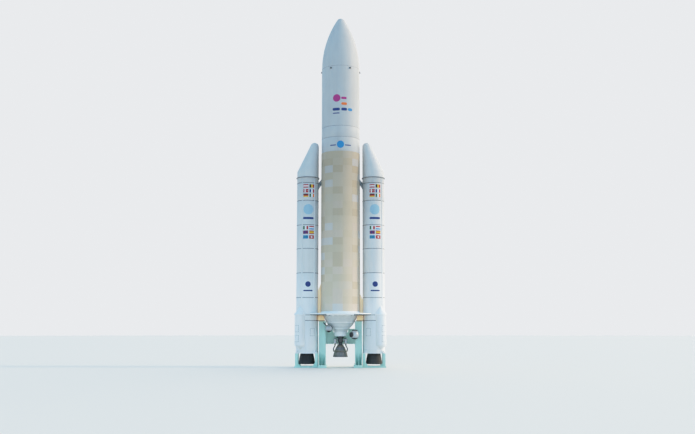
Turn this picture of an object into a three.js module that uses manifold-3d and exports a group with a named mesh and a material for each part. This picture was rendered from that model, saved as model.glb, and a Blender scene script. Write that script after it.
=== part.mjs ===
// Space rocket with two strap-on boosters, as a 1:2 scale model that stands on its plinth.
// Every size is that of the full-size rocket in metres, times M. Heights run up from the floor
// that the model stands on. The model's front faces -Y, and its boosters lie along X.

import * as THREE from 'three';
import { mergeVertices } from 'three/addons/utils/BufferGeometryUtils.js';
import { ConvexGeometry } from 'three/addons/geometries/ConvexGeometry.js';
import Module from 'manifold-3d';

const wasm = await Module();
wasm.setup();

// Scale and fits
const M = 500;                       // millimetres of the model for each metre of the rocket
const GAP = 0.3;                     // between pieces that rest on each other, mm
const ROUND = 40;                    // sides of the large turned pieces
const BELL_ROUND = 32;               // sides of the nozzles
const SMALL_ROUND = 20;              // sides of tanks, pumps and pods
const PIN_ROUND = 20;                // sides of pins and struts
const BORE_PLAY = 0.9;               // added to a pin's radius for its hole, mm

// Core stage and what stands on it
const CORE_R = 2.73 * M;
const CORE_BOTTOM = 7.62 * M;
const CORE_TOP = 29.86 * M;
const UPPER_R = 2.70 * M;
const BAY_BOTTOM = 31.90 * M;
const BAY_TOP = 33.49 * M;

// Supply line on the back of the core: its pipe, the web that holds it and its box-shaped head
const SUPPLY = { y: CORE_R + 0.16 * M, r: 0.13 * M, web: 0.05 * M, headHalf: 0.20 * M, headOut: CORE_R + 0.34 * M,
  headBottom: 23.5 * M, headTop: 24.3 * M };

// Payload fairing: a cylinder, an arc that leaves it without a corner, and a round tip
const FAIRING_WALL = 0.08 * M;
const OGIVE_BOTTOM = 42.18 * M;
const OGIVE_ARC_R = 14.17 * M;
const TIP_R = 0.634 * M;
const NUB_HEIGHT = 41.91 * M;        // middle of the small lugs below the ogive
const NUB_ANGLES = [30, 90, 150];    // from the front, on each side
const NUB_SIZE = { wide: 0.20 * M, tall: 0.22 * M, proud: 0.15 * M };

// Boosters
const BOOSTER_R = 1.525 * M;
const BOOSTER_X = 4.63 * M;
const BOOSTER_TIP = 31.56 * M;
const BOOSTER_TIP_R = 0.60 * M;
const SLANT_BOTTOM = 27.24 * M;
const COLLAR = { z: 26.42 * M, proud: 0.11 * M, tall: 0.10 * M };
const SKIRT_BOTTOM = 1.90 * M;
const SKIRT_ROOF = 3.70 * M;         // roof of the bay that the nozzle turns in
const SKIRT_WALL = 0.09 * M;

// The rest of a booster's length, from the top down: name, height of its bottom, height of its top
const BOOSTER_SECTIONS = [
  ['forward_skirt', 25.56 * M, 26.42 * M],
  ['forward_segment', 23.05 * M, 25.56 * M],
  ['centre_segment', 12.92 * M, 23.05 * M],
  ['aft_segment', 6.38 * M, 12.92 * M],
];
const AFT_SKIRT_TOP = 6.38 * M;

// Cable ducts on the boosters: angle from the front, positive towards +X, for each side
const DUCT = { wide: 0.20 * M, proud: 0.12 * M, bottom: 8.45 * M, top: 26.20 * M };
const DUCT_ANGLES = { l: [-27, 42], r: [49, 118] };

// Pod with a conical top on each booster's outer front
const POD = { out: 0.90 * M, front: 1.23 * M, r: 0.74 * M, lip: 0.85 * M, bottom: 3.0 * M,
  shoulder: 7.20 * M, apex: 8.30 * M };

// Deck: a thin plate with a ring on it that the core stands on
const DECK = { r: 4.45 * M, bottom: 7.16 * M, top: 7.36 * M, edge: 0.06 * M, clearance: 0.03 * M };

// Thrust frame: radius and height, from its foot up to the deck
const FRAME_BOTTOM = 4.84 * M;
const FRAME_OUTLINE = [
  [0.94 * M, FRAME_BOTTOM],
  [0.94 * M, 5.00 * M],
  [1.25 * M, 5.34 * M],
  [1.72 * M, 5.85 * M],
  [1.97 * M, 6.28 * M],
  [2.29 * M, 6.80 * M],
  [2.34 * M, DECK.bottom - GAP],
];

// Drum round the main engine's gimbal, open below
const SHROUD = { r: 0.88 * M, wall: 0.04 * M, bottom: 4.24 * M };

// What hangs beside the engine
const HELIUM = { x: -1.56 * M, y: -1.42 * M, z: 5.32 * M, r: 0.52 * M };
const FLASK = { x: 1.96 * M, y: -1.55 * M, z: 4.45 * M, r: 0.62 * M, neck: 0.36 * M, top: 5.10 * M };

// Gap fins, brackets and forward struts between the core and the boosters
const FIN_HALF = 0.35 * M;
const FIN_TOPS = { l: [11.45 * M, 10.56 * M], r: [10.05 * M, 9.26 * M] };   // at the core, at the booster
const BRACKET = { inTop: 2.43 * M, inBottom: 2.16 * M, out: 3.07 * M, half: 0.90 * M, bottom: 6.28 * M };
const STRUT_HALF = 0.22 * M;
const STRUT = { coreTop: 26.20 * M, coreBottom: 25.45 * M, caseTop: 25.75 * M, caseBottom: 24.85 * M };

// Plinth: a pylon under each bracket, a beam behind the engine that joins them, and a stand under each booster
const PYLON = { x0: 2.02 * M, x1: 2.97 * M, half: 0.80 * M };
const PYLON_FOOT = { x0: 1.85 * M, x1: 2.97 * M, half: 2.60 * M, tall: 0.35 * M };
const CROSSBEAM = { front: 0.92 * M, back: 1.16 * M, bottom: 3.16 * M, top: 5.24 * M, notch: 4.76 * M,
  notchHalf: 1.04 * M };
const STAND = { post: 1.36 * M, postHalf: 0.175 * M, plateHalf: 1.635 * M, plate: 0.20 * M };
const HOLD_DOWN = { tall: 0.45 * M, half: 0.15 * M, reach: 2.05 * M };

// Main engine
const ENGINE = { plateR: 0.52 * M, plateTop: 4.13 * M, chamberR: 0.36 * M, throatR: 0.22 * M,
  flange: 3.00 * M, flangeR: 0.44 * M };
const MAIN_BELL = { top: 3.00 * M, topR: 0.40 * M, bottom: 1.40 * M, exitR: 1.045 * M, wall: 0.035 * M };
const MANIFOLD = { z: 2.20 * M, tall: 0.16 * M, proud: 0.22 * M };
const PUMP = { x: 0.74 * M, r: 0.25 * M, bottom: 3.12 * M, top: 3.95 * M, pipeZ: 3.72 * M, pipeR: 0.09 * M };
const EXHAUST_R = 0.085 * M;

// Booster nozzles
const CASE_BELL = { top: 2.55 * M, topR: 0.62 * M, bottom: 0.45 * M, exitR: 1.15 * M, wall: 0.05 * M };

// Crossed pins that a nozzle swings on: middle, reach of a pin, its radius, lug thickness and half width
const MAIN_GIMBAL = { z: 4.42 * M, reach: 0.46 * M, pin: 0.075 * M, lug: 0.11 * M, half: 0.15 * M };
const CASE_GIMBAL = { z: 3.10 * M, reach: 0.46 * M, pin: 0.075 * M, lug: 0.11 * M, half: 0.15 * M };

// Finishes
function finish(color, roughness, metalness) {
  return new THREE.MeshStandardMaterial({ color, roughness, metalness });
}
const whitePaint = finish(0xdfe6ea, 0.45, 0.0);
const beigeFoam = finish(0xc4b48e, 0.85, 0.0);
const beigePaint = finish(0xd9bd84, 0.7, 0.0);
const greyPaint = finish(0xb9cdd2, 0.5, 0.2);
const darkSteel = finish(0x50565a, 0.5, 0.6);
const silver = finish(0xb4b8bb, 0.3, 0.9);
const nozzleMetal = finish(0x6e6a66, 0.45, 0.8);
const nozzleCarbon = finish(0x2d2c2c, 0.8, 0.1);
const tealPaint = finish(0xa8d8cc, 0.5, 0.0);

const rocket = new THREE.Group();

function place(parent, name, geometry, material) {
  const mesh = new THREE.Mesh(geometry, material);
  mesh.name = name;
  parent.add(mesh);
  return mesh;
}

// Shapes

// A shape turned about Z. The outline is [radius, height] pairs, up the outside.
function turned(outline, sides = ROUND) {
  const points = outline.map(([r, z]) => new THREE.Vector2(r, z));
  return new THREE.LatheGeometry(points, sides).rotateX(Math.PI / 2);
}

function box(x0, x1, y0, y1, z0, z1) {
  return new THREE.BoxGeometry(x1 - x0, y1 - y0, z1 - z0)
    .translate((x0 + x1) / 2, (y0 + y1) / 2, (z0 + z1) / 2);
}

// A flat outline of [x, z] pairs, as thick as y0 to y1
function plate(outline, y0, y1) {
  const shape = new THREE.Shape(outline.map(([x, z]) => new THREE.Vector2(x, z)));
  return new THREE.ExtrudeGeometry(shape, { depth: y1 - y0, bevelEnabled: false })
    .rotateX(Math.PI / 2).translate(0, y1, 0);
}

function rod(from, to, radius, sides = PIN_ROUND) {
  const start = new THREE.Vector3(...from);
  const along = new THREE.Vector3(...to).sub(start);
  const turn = new THREE.Quaternion().setFromUnitVectors(
    new THREE.Vector3(0, 1, 0), along.clone().normalize());
  return new THREE.CylinderGeometry(radius, radius, along.length(), sides)
    .applyQuaternion(turn).translate(...start.addScaledVector(along, 0.5).toArray());
}

function ball(x, y, z, radius) {
  return new THREE.SphereGeometry(radius, SMALL_ROUND, SMALL_ROUND / 2)
    .rotateX(Math.PI / 2).translate(x, y, z);
}

// A pipe through the points, with its ends square to its first and last stretch
function pipe(points, radius, steps) {
  const path = new THREE.CatmullRomCurve3(points.map((p) => new THREE.Vector3(...p)));
  const section = new THREE.Shape().absarc(0, 0, radius, 0, 2 * Math.PI);
  return new THREE.ExtrudeGeometry(section, { steps, curveSegments: 6, extrudePath: path });
}

// Cutting and joining need merged vertices and no triangles without area
function solid(geometry) {
  geometry.deleteAttribute('normal');
  geometry.deleteAttribute('uv');
  const merged = mergeVertices(geometry, 1e-3);
  const index = merged.index.array;
  const triVerts = [];
  for (let i = 0; i < index.length; i += 3) {
    const [a, b, c] = index.slice(i, i + 3);
    if (a !== b && b !== c && c !== a) triVerts.push(a, b, c);
  }
  return new wasm.Manifold(new wasm.Mesh({
    numProp: 3,
    vertProperties: new Float32Array(merged.attributes.position.array),
    triVerts: new Uint32Array(triVerts),
  }));
}

function joined(...geometries) {
  return geometries.map(solid).reduce((sum, next) => sum.add(next));
}

function shell(body) {
  const mesh = body.getMesh();
  const geometry = new THREE.BufferGeometry();
  geometry.setAttribute('position', new THREE.BufferAttribute(mesh.vertProperties, 3));
  geometry.setIndex(new THREE.BufferAttribute(mesh.triVerts, 1));
  return geometry;
}

// Points on a curved bell, from its top down, as [radius, height]
function bellCurve(bell, inset) {
  const top = new THREE.Vector2(bell.topR - inset, bell.top);
  const bulge = new THREE.Vector2((bell.topR + 2 * bell.exitR) / 3 - inset, (2 * bell.top + bell.bottom) / 3);
  const exit = new THREE.Vector2(bell.exitR - inset, bell.bottom);
  return new THREE.QuadraticBezierCurve(top, bulge, exit).getPoints(6).map((p) => [p.x, p.y]);
}

// Outer radius of a bell at a height, between the points of its curve
function bellRadius(bell, z) {
  const curve = bellCurve(bell, 0);
  const below = curve.findIndex((point) => point[1] <= z);
  const [[r0, z0], [r1, z1]] = [curve[below - 1], curve[below]];
  return r0 + (r1 - r0) * (z0 - z) / (z0 - z1);
}

// Gimbals

// Lugs that hang down beside a gimbal's X pins, from the face above it
function hangingLugs(gimbal, face) {
  const lugs = [-1, 1].map((side) => {
    const near = side * (gimbal.reach - gimbal.lug);
    const far = side * gimbal.reach;
    return box(Math.min(near, far), Math.max(near, far), -gimbal.half, gimbal.half,
      gimbal.z - gimbal.half, face + 0.02 * M);
  });
  const hole = rod([-2 * gimbal.reach, 0, gimbal.z], [2 * gimbal.reach, 0, gimbal.z], gimbal.pin + BORE_PLAY);
  return joined(...lugs).subtract(solid(hole));
}

// Lugs that stand up beside a gimbal's Y pins, from the face below it
function standingLugs(gimbal, face) {
  const lugs = [-1, 1].map((side) => {
    const near = side * (gimbal.reach - gimbal.lug);
    const far = side * gimbal.reach;
    return box(-gimbal.half, gimbal.half, Math.min(near, far), Math.max(near, far),
      face - 0.02 * M, gimbal.z + gimbal.half);
  });
  const hole = rod([0, -2 * gimbal.reach, gimbal.z], [0, 2 * gimbal.reach, gimbal.z], gimbal.pin + BORE_PLAY);
  return joined(...lugs).subtract(solid(hole));
}

function gimbalCross(gimbal) {
  const reach = gimbal.reach;
  const hub = 0.16 * M;
  return shell(joined(
    rod([-reach, 0, gimbal.z], [reach, 0, gimbal.z], gimbal.pin),
    rod([0, -reach, gimbal.z], [0, reach, gimbal.z], gimbal.pin),
    box(-hub, hub, -hub, hub, gimbal.z - 0.12 * M, gimbal.z + 0.12 * M)));
}

// Core stage, upper skirt and equipment bay

place(rocket, 'core_tank', turned([
  [0, CORE_BOTTOM + GAP], [CORE_R, CORE_BOTTOM + GAP], [CORE_R, CORE_TOP - GAP], [0, CORE_TOP - GAP],
]), beigeFoam);
place(rocket, 'upper_skirt', turned([
  [0, CORE_TOP], [UPPER_R, CORE_TOP], [UPPER_R, BAY_BOTTOM - GAP], [0, BAY_BOTTOM - GAP],
]), whitePaint);
place(rocket, 'equipment_bay', turned([
  [0, BAY_BOTTOM], [UPPER_R, BAY_BOTTOM], [UPPER_R, BAY_TOP - GAP], [0, BAY_TOP - GAP],
]), whitePaint);
place(rocket, 'payload_adapter', turned([
  [0, BAY_TOP], [2.15 * M, BAY_TOP], [2.15 * M, BAY_TOP + 0.12 * M], [0.92 * M, BAY_TOP + 1.15 * M],
  [1.00 * M, BAY_TOP + 1.20 * M], [1.00 * M, BAY_TOP + 1.30 * M], [0, BAY_TOP + 1.30 * M],
]), greyPaint);

// Supply line down the back of the core, with a flared top
place(rocket, 'supply_line', shell(joined(
  rod([0, SUPPLY.y, DECK.top + GAP], [0, SUPPLY.y, SUPPLY.headBottom + SUPPLY.web], SUPPLY.r),
  box(-SUPPLY.headHalf, SUPPLY.headHalf, CORE_R + GAP, SUPPLY.headOut, SUPPLY.headBottom, SUPPLY.headTop),
  box(-SUPPLY.web, SUPPLY.web, CORE_R + GAP, SUPPLY.y, DECK.top + GAP, SUPPLY.headBottom + SUPPLY.web))),
whitePaint);

// Payload fairing

// Outside or, with an inset, inside of the fairing above its cylinder, from the shoulder to the tip
function ogive(inset) {
  const back = OGIVE_ARC_R - UPPER_R;
  const tipZ = Math.sqrt((OGIVE_ARC_R - TIP_R) ** 2 - back ** 2);
  const meet = Math.asin(tipZ / (OGIVE_ARC_R - TIP_R));
  const points = [];
  for (let i = 0; i < 8; i += 1) {
    const a = meet * i / 8;
    points.push([(OGIVE_ARC_R - inset) * Math.cos(a) - back,
      OGIVE_BOTTOM + (OGIVE_ARC_R - inset) * Math.sin(a)]);
  }
  for (let i = 0; i <= 3; i += 1) {
    const b = meet + (Math.PI / 2 - meet) * i / 3;
    points.push([(TIP_R - inset) * Math.cos(b), OGIVE_BOTTOM + tipZ + (TIP_R - inset) * Math.sin(b)]);
  }
  points[points.length - 1][0] = 0;
  return points;
}

// A small lug on the outside, at an angle from the front
function nub(angle) {
  const inner = UPPER_R - FAIRING_WALL / 2;
  return box(-NUB_SIZE.wide / 2, NUB_SIZE.wide / 2, -UPPER_R - NUB_SIZE.proud, -inner,
    NUB_HEIGHT - NUB_SIZE.tall / 2, NUB_HEIGHT + NUB_SIZE.tall / 2).rotateZ(angle * Math.PI / 180);
}

for (const [side, sign] of [['l', -1], ['r', 1]]) {
  const wall = solid(turned([
    [UPPER_R - FAIRING_WALL, BAY_TOP], [UPPER_R, BAY_TOP], ...ogive(0), ...ogive(FAIRING_WALL).reverse(),
    [UPPER_R - FAIRING_WALL, BAY_TOP],
  ]));
  const far = 2 * UPPER_R;
  const cut = sign < 0 ? box(-GAP / 2, far, -far, far, 0, 60 * M) : box(-far, GAP / 2, -far, far, 0, 60 * M);
  const half = NUB_ANGLES.reduce((body, angle) => body.add(solid(nub(sign * angle))), wall.subtract(solid(cut)));
  place(rocket, `fairing_half_${side}`, shell(half), whitePaint);
}

// Deck round the foot of the core, with a bite for each booster
const bites = [-1, 1].map((sign) => solid(turned([
  [0, 0], [BOOSTER_R + DECK.clearance, 0], [BOOSTER_R + DECK.clearance, 10 * M], [0, 10 * M],
]).translate(sign * BOOSTER_X, 0, 0)));
const disc = solid(turned([
  [0, DECK.bottom], [DECK.r - DECK.edge, DECK.bottom], [DECK.r, DECK.bottom + DECK.edge], [DECK.r, DECK.top],
  [CORE_R, DECK.top], [CORE_R, CORE_BOTTOM], [0, CORE_BOTTOM],
]));
place(rocket, 'base_deck', shell(disc.subtract(bites[0]).subtract(bites[1])), whitePaint);

// Thrust frame under the deck, and the engine that hangs from it

const thrustCone = solid(turned([[0, FRAME_BOTTOM], ...FRAME_OUTLINE, [0, DECK.bottom - GAP]]));
place(rocket, 'thrust_frame', shell(thrustCone.add(hangingLugs(MAIN_GIMBAL, FRAME_BOTTOM))), greyPaint);
place(rocket, 'gimbal_shroud', shell(solid(turned([
  [SHROUD.r - SHROUD.wall, SHROUD.bottom], [SHROUD.r, SHROUD.bottom], [SHROUD.r, FRAME_BOTTOM - GAP],
  [SHROUD.r - SHROUD.wall, FRAME_BOTTOM - GAP], [SHROUD.r - SHROUD.wall, SHROUD.bottom],
]))), greyPaint);
place(rocket, 'main_gimbal', gimbalCross(MAIN_GIMBAL), darkSteel);

const chamber = solid(turned([
  [0, ENGINE.flange], [ENGINE.flangeR, ENGINE.flange], [ENGINE.flangeR, ENGINE.flange + 0.08 * M],
  [0.32 * M, ENGINE.flange + 0.08 * M], [ENGINE.throatR, 3.28 * M], [ENGINE.chamberR, 3.50 * M],
  [ENGINE.chamberR, 3.93 * M], [ENGINE.plateR, 4.03 * M], [ENGINE.plateR, ENGINE.plateTop],
  [0, ENGINE.plateTop],
], BELL_ROUND));
place(rocket, 'main_engine', shell(chamber.add(standingLugs(MAIN_GIMBAL, ENGINE.plateTop))), darkSteel);

function bellOutline(bell) {
  const outside = bellCurve(bell, 0).reverse();
  const inside = bellCurve(bell, bell.wall);
  return [...outside, ...inside, outside[0]];
}

// The exhaust manifold rings the bell where the two exhaust pipes come down
const bellAtManifold = bellRadius(MAIN_BELL, MANIFOLD.z);
const manifoldRing = turned([
  [bellAtManifold - 0.02 * M, MANIFOLD.z - MANIFOLD.tall / 2],
  [bellAtManifold + MANIFOLD.proud, MANIFOLD.z - MANIFOLD.tall / 2],
  [bellAtManifold + MANIFOLD.proud, MANIFOLD.z + MANIFOLD.tall / 2],
  [bellAtManifold - 0.02 * M, MANIFOLD.z + MANIFOLD.tall / 2],
  [bellAtManifold - 0.02 * M, MANIFOLD.z - MANIFOLD.tall / 2],
], BELL_ROUND);
const mainBell = { ...MAIN_BELL, top: MAIN_BELL.top - GAP };
place(rocket, 'main_nozzle', shell(joined(turned(bellOutline(mainBell), BELL_ROUND), manifoldRing)), nozzleMetal);

// Each pump feeds the chamber through a short pipe, and its exhaust runs down to the manifold
for (const [name, side, sign] of [['oxygen_pump', 'l', -1], ['hydrogen_pump', 'r', 1]]) {
  const pump = joined(
    turned([[0, PUMP.bottom], [PUMP.r, PUMP.bottom], [PUMP.r, PUMP.top - 0.15 * M], [0.14 * M, PUMP.top],
      [0, PUMP.top]], SMALL_ROUND).translate(sign * PUMP.x, 0, 0),
    rod([sign * PUMP.x, 0, PUMP.pipeZ], [sign * (ENGINE.chamberR + GAP), 0, PUMP.pipeZ], PUMP.pipeR));
  place(rocket, name, shell(pump), silver);
  const drop = sign * (bellAtManifold + MANIFOLD.proud - EXHAUST_R - 0.01 * M);
  const low = MANIFOLD.z + MANIFOLD.tall / 2 + GAP;
  place(rocket, `exhaust_pipe_${side}`, pipe([
    [sign * PUMP.x, 0, PUMP.bottom - GAP], [sign * PUMP.x, 0, PUMP.bottom - 0.12 * M],
    [drop, 0, low + 0.25 * M], [drop, 0, low],
  ], EXHAUST_R, 10), nozzleMetal);
}

// Helium sphere on a strut from the left pylon, and a flask on an arm from the right one
const pylonSide = box(-4 * M, -PYLON.x0 + GAP, -2 * M, 2 * M, 0, 10 * M);
const heliumStrut = solid(rod([HELIUM.x, HELIUM.y, HELIUM.z], [-2.20 * M, -0.40 * M, 6.05 * M], 0.05 * M))
  .subtract(solid(pylonSide));
place(rocket, 'helium_sphere', shell(solid(ball(HELIUM.x, HELIUM.y, HELIUM.z, HELIUM.r)).add(heliumStrut)), silver);
place(rocket, 'pressure_flask', shell(joined(
  ball(FLASK.x, FLASK.y, FLASK.z, FLASK.r),
  rod([FLASK.x, FLASK.y, FLASK.z], [FLASK.x, FLASK.y, FLASK.top], FLASK.neck),
  box(2.15 * M, 2.35 * M, FLASK.y, -PYLON.half - GAP, FLASK.z - 0.1 * M, FLASK.z + 0.1 * M))), silver);

// Fins, brackets, struts and pylons between the core and each booster
for (const [side, sign] of [['l', -1], ['r', 1]]) {
  const [atCore, atBooster] = FIN_TOPS[side];
  const caseX = BOOSTER_X - BOOSTER_R - GAP;
  const coreX = CORE_R + GAP;
  const mirrored = (outline) => outline.map(([x, z]) => [sign * x, z]);

  place(rocket, `gap_fin_${side}`, plate(mirrored([
    [coreX, DECK.top + GAP], [caseX, DECK.top + GAP], [caseX, atBooster], [coreX, atCore],
  ]), -FIN_HALF, FIN_HALF), beigePaint);
  place(rocket, `aft_bracket_${side}`, plate(mirrored([
    [BRACKET.inBottom, BRACKET.bottom + GAP], [BRACKET.out, BRACKET.bottom + GAP],
    [BRACKET.out, DECK.bottom - GAP], [BRACKET.inTop, DECK.bottom - GAP],
  ]), -BRACKET.half, BRACKET.half), beigePaint);
  place(rocket, `forward_strut_${side}`, plate(mirrored([
    [coreX, STRUT.coreBottom], [caseX, STRUT.caseBottom], [caseX, STRUT.caseTop], [coreX, STRUT.coreTop],
  ]), -STRUT_HALF, STRUT_HALF), darkSteel);

  const [x0, x1] = sign < 0 ? [-PYLON.x1, -PYLON.x0] : [PYLON.x0, PYLON.x1];
  const [f0, f1] = sign < 0 ? [-PYLON_FOOT.x1, -PYLON_FOOT.x0] : [PYLON_FOOT.x0, PYLON_FOOT.x1];
  place(rocket, `pylon_${side}`, shell(joined(
    box(x0, x1, -PYLON.half, PYLON.half, 0, BRACKET.bottom),
    box(f0, f1, -PYLON_FOOT.half, PYLON_FOOT.half, 0, PYLON_FOOT.tall))), tealPaint);
}

// The beam stands off the pylons on a block at each end, and is notched round the thrust frame
place(rocket, 'crossbeam', shell(joined(
  plate([
    [-PYLON.x1, CROSSBEAM.bottom], [PYLON.x1, CROSSBEAM.bottom], [PYLON.x1, CROSSBEAM.top],
    [CROSSBEAM.notchHalf, CROSSBEAM.top], [CROSSBEAM.notchHalf, CROSSBEAM.notch],
    [-CROSSBEAM.notchHalf, CROSSBEAM.notch], [-CROSSBEAM.notchHalf, CROSSBEAM.top],
    [-PYLON.x1, CROSSBEAM.top],
  ], CROSSBEAM.front, CROSSBEAM.back),
  ...[[-PYLON.x1, -PYLON.x0], [PYLON.x0, PYLON.x1]].map(([x0, x1]) => box(
    x0, x1, PYLON.half + GAP, CROSSBEAM.front, CROSSBEAM.bottom, CROSSBEAM.top)))), tealPaint);

// Boosters, each in a group whose origin is on its axis

// Nose: the straight stretch above the collar, and a skewed cone to a round tip, upright on the inside
function noseCone(sign) {
  const points = [];
  for (let i = 0; i < ROUND; i += 1) {
    const a = 2 * Math.PI * i / ROUND;
    for (const z of [COLLAR.z + GAP, SLANT_BOTTOM]) {
      points.push(new THREE.Vector3(BOOSTER_R * Math.cos(a), BOOSTER_R * Math.sin(a), z));
    }
  }
  const tipX = -sign * (BOOSTER_R - BOOSTER_TIP_R);
  const tip = new THREE.SphereGeometry(BOOSTER_TIP_R, 16, 12, 0, 2 * Math.PI, 0, Math.PI * 0.6).rotateX(Math.PI / 2)
    .translate(tipX, 0, BOOSTER_TIP - BOOSTER_TIP_R).attributes.position;
  for (let i = 0; i < tip.count; i += 1) {
    points.push(new THREE.Vector3().fromBufferAttribute(tip, i));
  }
  return new ConvexGeometry(points);
}

// What lies against a booster is cut to its round side
const boosterSide = solid(turned([
  [0, 0], [BOOSTER_R + GAP, 0], [BOOSTER_R + GAP, BOOSTER_TIP], [0, BOOSTER_TIP],
]));

function duct(angle) {
  const bar = box(-DUCT.wide / 2, DUCT.wide / 2, -BOOSTER_R - DUCT.proud, -BOOSTER_R + DUCT.proud,
    DUCT.bottom, DUCT.top).rotateZ(angle * Math.PI / 180);
  return shell(solid(bar).subtract(boosterSide));
}

for (const [side, sign] of [['l', -1], ['r', 1]]) {
  const booster = new THREE.Group();
  booster.position.x = sign * BOOSTER_X;
  rocket.add(booster);

  place(booster, `nose_cone_${side}`, noseCone(sign), whitePaint);
  for (const [name, bottom, top] of BOOSTER_SECTIONS) {
    const outline = [[0, bottom], [BOOSTER_R, bottom]];
    if (name === 'forward_skirt') {
      const collarR = BOOSTER_R + COLLAR.proud;
      outline.push([BOOSTER_R, top - COLLAR.tall], [collarR, top - COLLAR.tall], [collarR, top - GAP]);
    } else {
      outline.push([BOOSTER_R, top - GAP]);
    }
    outline.push([0, top - GAP]);
    place(booster, `${name}_${side}`, turned(outline), whitePaint);
  }

  const podX = sign * POD.out;
  const aftSkirt = [45, 135, 225, 315].reduce((body, angle) => body.add(solid(
    box(BOOSTER_R - 0.05 * M, HOLD_DOWN.reach, -HOLD_DOWN.half, HOLD_DOWN.half,
      SKIRT_BOTTOM, SKIRT_BOTTOM + HOLD_DOWN.tall).rotateZ(angle * Math.PI / 180))),
  solid(turned([
    [BOOSTER_R - SKIRT_WALL, SKIRT_BOTTOM], [BOOSTER_R, SKIRT_BOTTOM], [BOOSTER_R, AFT_SKIRT_TOP - GAP],
    [0, AFT_SKIRT_TOP - GAP], [0, SKIRT_ROOF], [BOOSTER_R - SKIRT_WALL, SKIRT_ROOF],
    [BOOSTER_R - SKIRT_WALL, SKIRT_BOTTOM],
  ])).add(hangingLugs(CASE_GIMBAL, SKIRT_ROOF)));
  place(booster, `aft_skirt_${side}`, shell(aftSkirt), whitePaint);

  const pod = solid(turned([
    [0, POD.bottom - 0.55 * M], [POD.r, POD.bottom], [POD.r, POD.shoulder - 0.12 * M],
    [POD.lip, POD.shoulder - 0.06 * M], [POD.lip, POD.shoulder], [0, POD.apex],
  ], SMALL_ROUND).translate(podX, -POD.front, 0)).subtract(boosterSide);
  place(booster, `pod_${side}`, shell(pod), whitePaint);

  DUCT_ANGLES[side].forEach((angle, i) => {
    place(booster, `cable_duct_${side}${i + 1}`, duct(angle), whitePaint);
  });

  place(booster, `nozzle_gimbal_${side}`, gimbalCross(CASE_GIMBAL), darkSteel);
  const bell = solid(turned([
    ...bellCurve(CASE_BELL, 0).reverse(), [0, CASE_BELL.top], [0, CASE_BELL.top - 0.1 * M],
    ...bellCurve({ ...CASE_BELL, top: CASE_BELL.top - 0.1 * M }, CASE_BELL.wall),
    [CASE_BELL.exitR, CASE_BELL.bottom],
  ], BELL_ROUND));
  place(booster, `booster_nozzle_${side}`, shell(bell.add(standingLugs(CASE_GIMBAL, CASE_BELL.top))),
    nozzleCarbon);

  const standParts = [box(-STAND.plateHalf, STAND.plateHalf, -STAND.plateHalf, STAND.plateHalf, 0, STAND.plate)];
  for (const px of [-STAND.post, STAND.post]) {
    for (const py of [-STAND.post, STAND.post]) {
      standParts.push(box(px - STAND.postHalf, px + STAND.postHalf, py - STAND.postHalf, py + STAND.postHalf,
        0, SKIRT_BOTTOM - GAP));
    }
  }
  place(booster, `booster_stand_${side}`, shell(joined(...standParts)), tealPaint);
}

export default rocket;
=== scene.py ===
# Dresses the 1:2 space rocket: paint, insulation panels, ring joints, markings, engine and plinth.
# Lengths are metres of the model. The front faces -Y and the boosters stand along X.

import math

import bmesh
import bpy
from mathutils import Matrix, Vector


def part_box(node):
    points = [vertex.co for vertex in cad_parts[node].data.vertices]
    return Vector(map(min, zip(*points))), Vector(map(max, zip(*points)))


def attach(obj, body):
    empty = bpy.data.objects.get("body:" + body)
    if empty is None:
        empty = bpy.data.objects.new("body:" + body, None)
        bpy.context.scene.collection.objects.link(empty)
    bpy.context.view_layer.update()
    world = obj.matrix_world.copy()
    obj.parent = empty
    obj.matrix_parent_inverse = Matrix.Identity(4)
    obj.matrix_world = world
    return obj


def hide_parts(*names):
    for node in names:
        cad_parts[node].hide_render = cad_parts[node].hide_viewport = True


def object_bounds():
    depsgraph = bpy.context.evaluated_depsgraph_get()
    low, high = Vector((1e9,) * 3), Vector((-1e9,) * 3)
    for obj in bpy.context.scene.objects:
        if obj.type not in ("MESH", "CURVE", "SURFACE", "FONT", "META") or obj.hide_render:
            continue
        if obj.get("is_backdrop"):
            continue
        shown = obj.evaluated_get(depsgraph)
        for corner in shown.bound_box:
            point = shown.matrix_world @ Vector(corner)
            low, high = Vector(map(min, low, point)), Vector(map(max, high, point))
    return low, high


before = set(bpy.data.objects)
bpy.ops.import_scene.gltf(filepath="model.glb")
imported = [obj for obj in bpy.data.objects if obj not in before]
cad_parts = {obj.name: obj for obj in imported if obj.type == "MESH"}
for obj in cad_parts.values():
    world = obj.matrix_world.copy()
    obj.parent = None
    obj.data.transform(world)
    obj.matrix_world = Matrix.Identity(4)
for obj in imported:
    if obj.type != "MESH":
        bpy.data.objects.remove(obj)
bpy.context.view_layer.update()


# Camera, floor and light.
# The camera stands far in front of the rocket, a little right of its axis, at eye height and tilted up. A low
# warm sun stands to the right in pale haze, and the rest is soft daylight.

brightest = 3.0
view = bpy.context.scene.view_settings
view.view_transform = "Standard"
view.use_curve_mapping = True
view.curve_mapping.clip_max_x = brightest
soft_highlights = view.curve_mapping.curves[3].points
soft_highlights[1].location = (brightest, 1.0)
for light, shown in ((0.3, 0.3), (0.6, 0.6), (1.0, 0.86), (1.5, 0.965)):
    soft_highlights.new(light, shown)
view.curve_mapping.update()



def placed(name, data):
    """Makes an object and links it into the scene."""
    thing = bpy.data.objects.new(name, data)
    bpy.context.collection.objects.link(thing)
    return thing


eye_level = 2.475
tilted_up = math.radians(7.69)
camera_lens = bpy.data.cameras.new("camera")
camera_lens.lens = 43.72
camera_lens.clip_end = 900
camera = placed("camera", camera_lens)
camera.location = (0.49, -59.0, eye_level)
camera.rotation_euler = (math.pi / 2 + tilted_up, 0, 0)
bpy.context.scene.camera = camera

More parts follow.
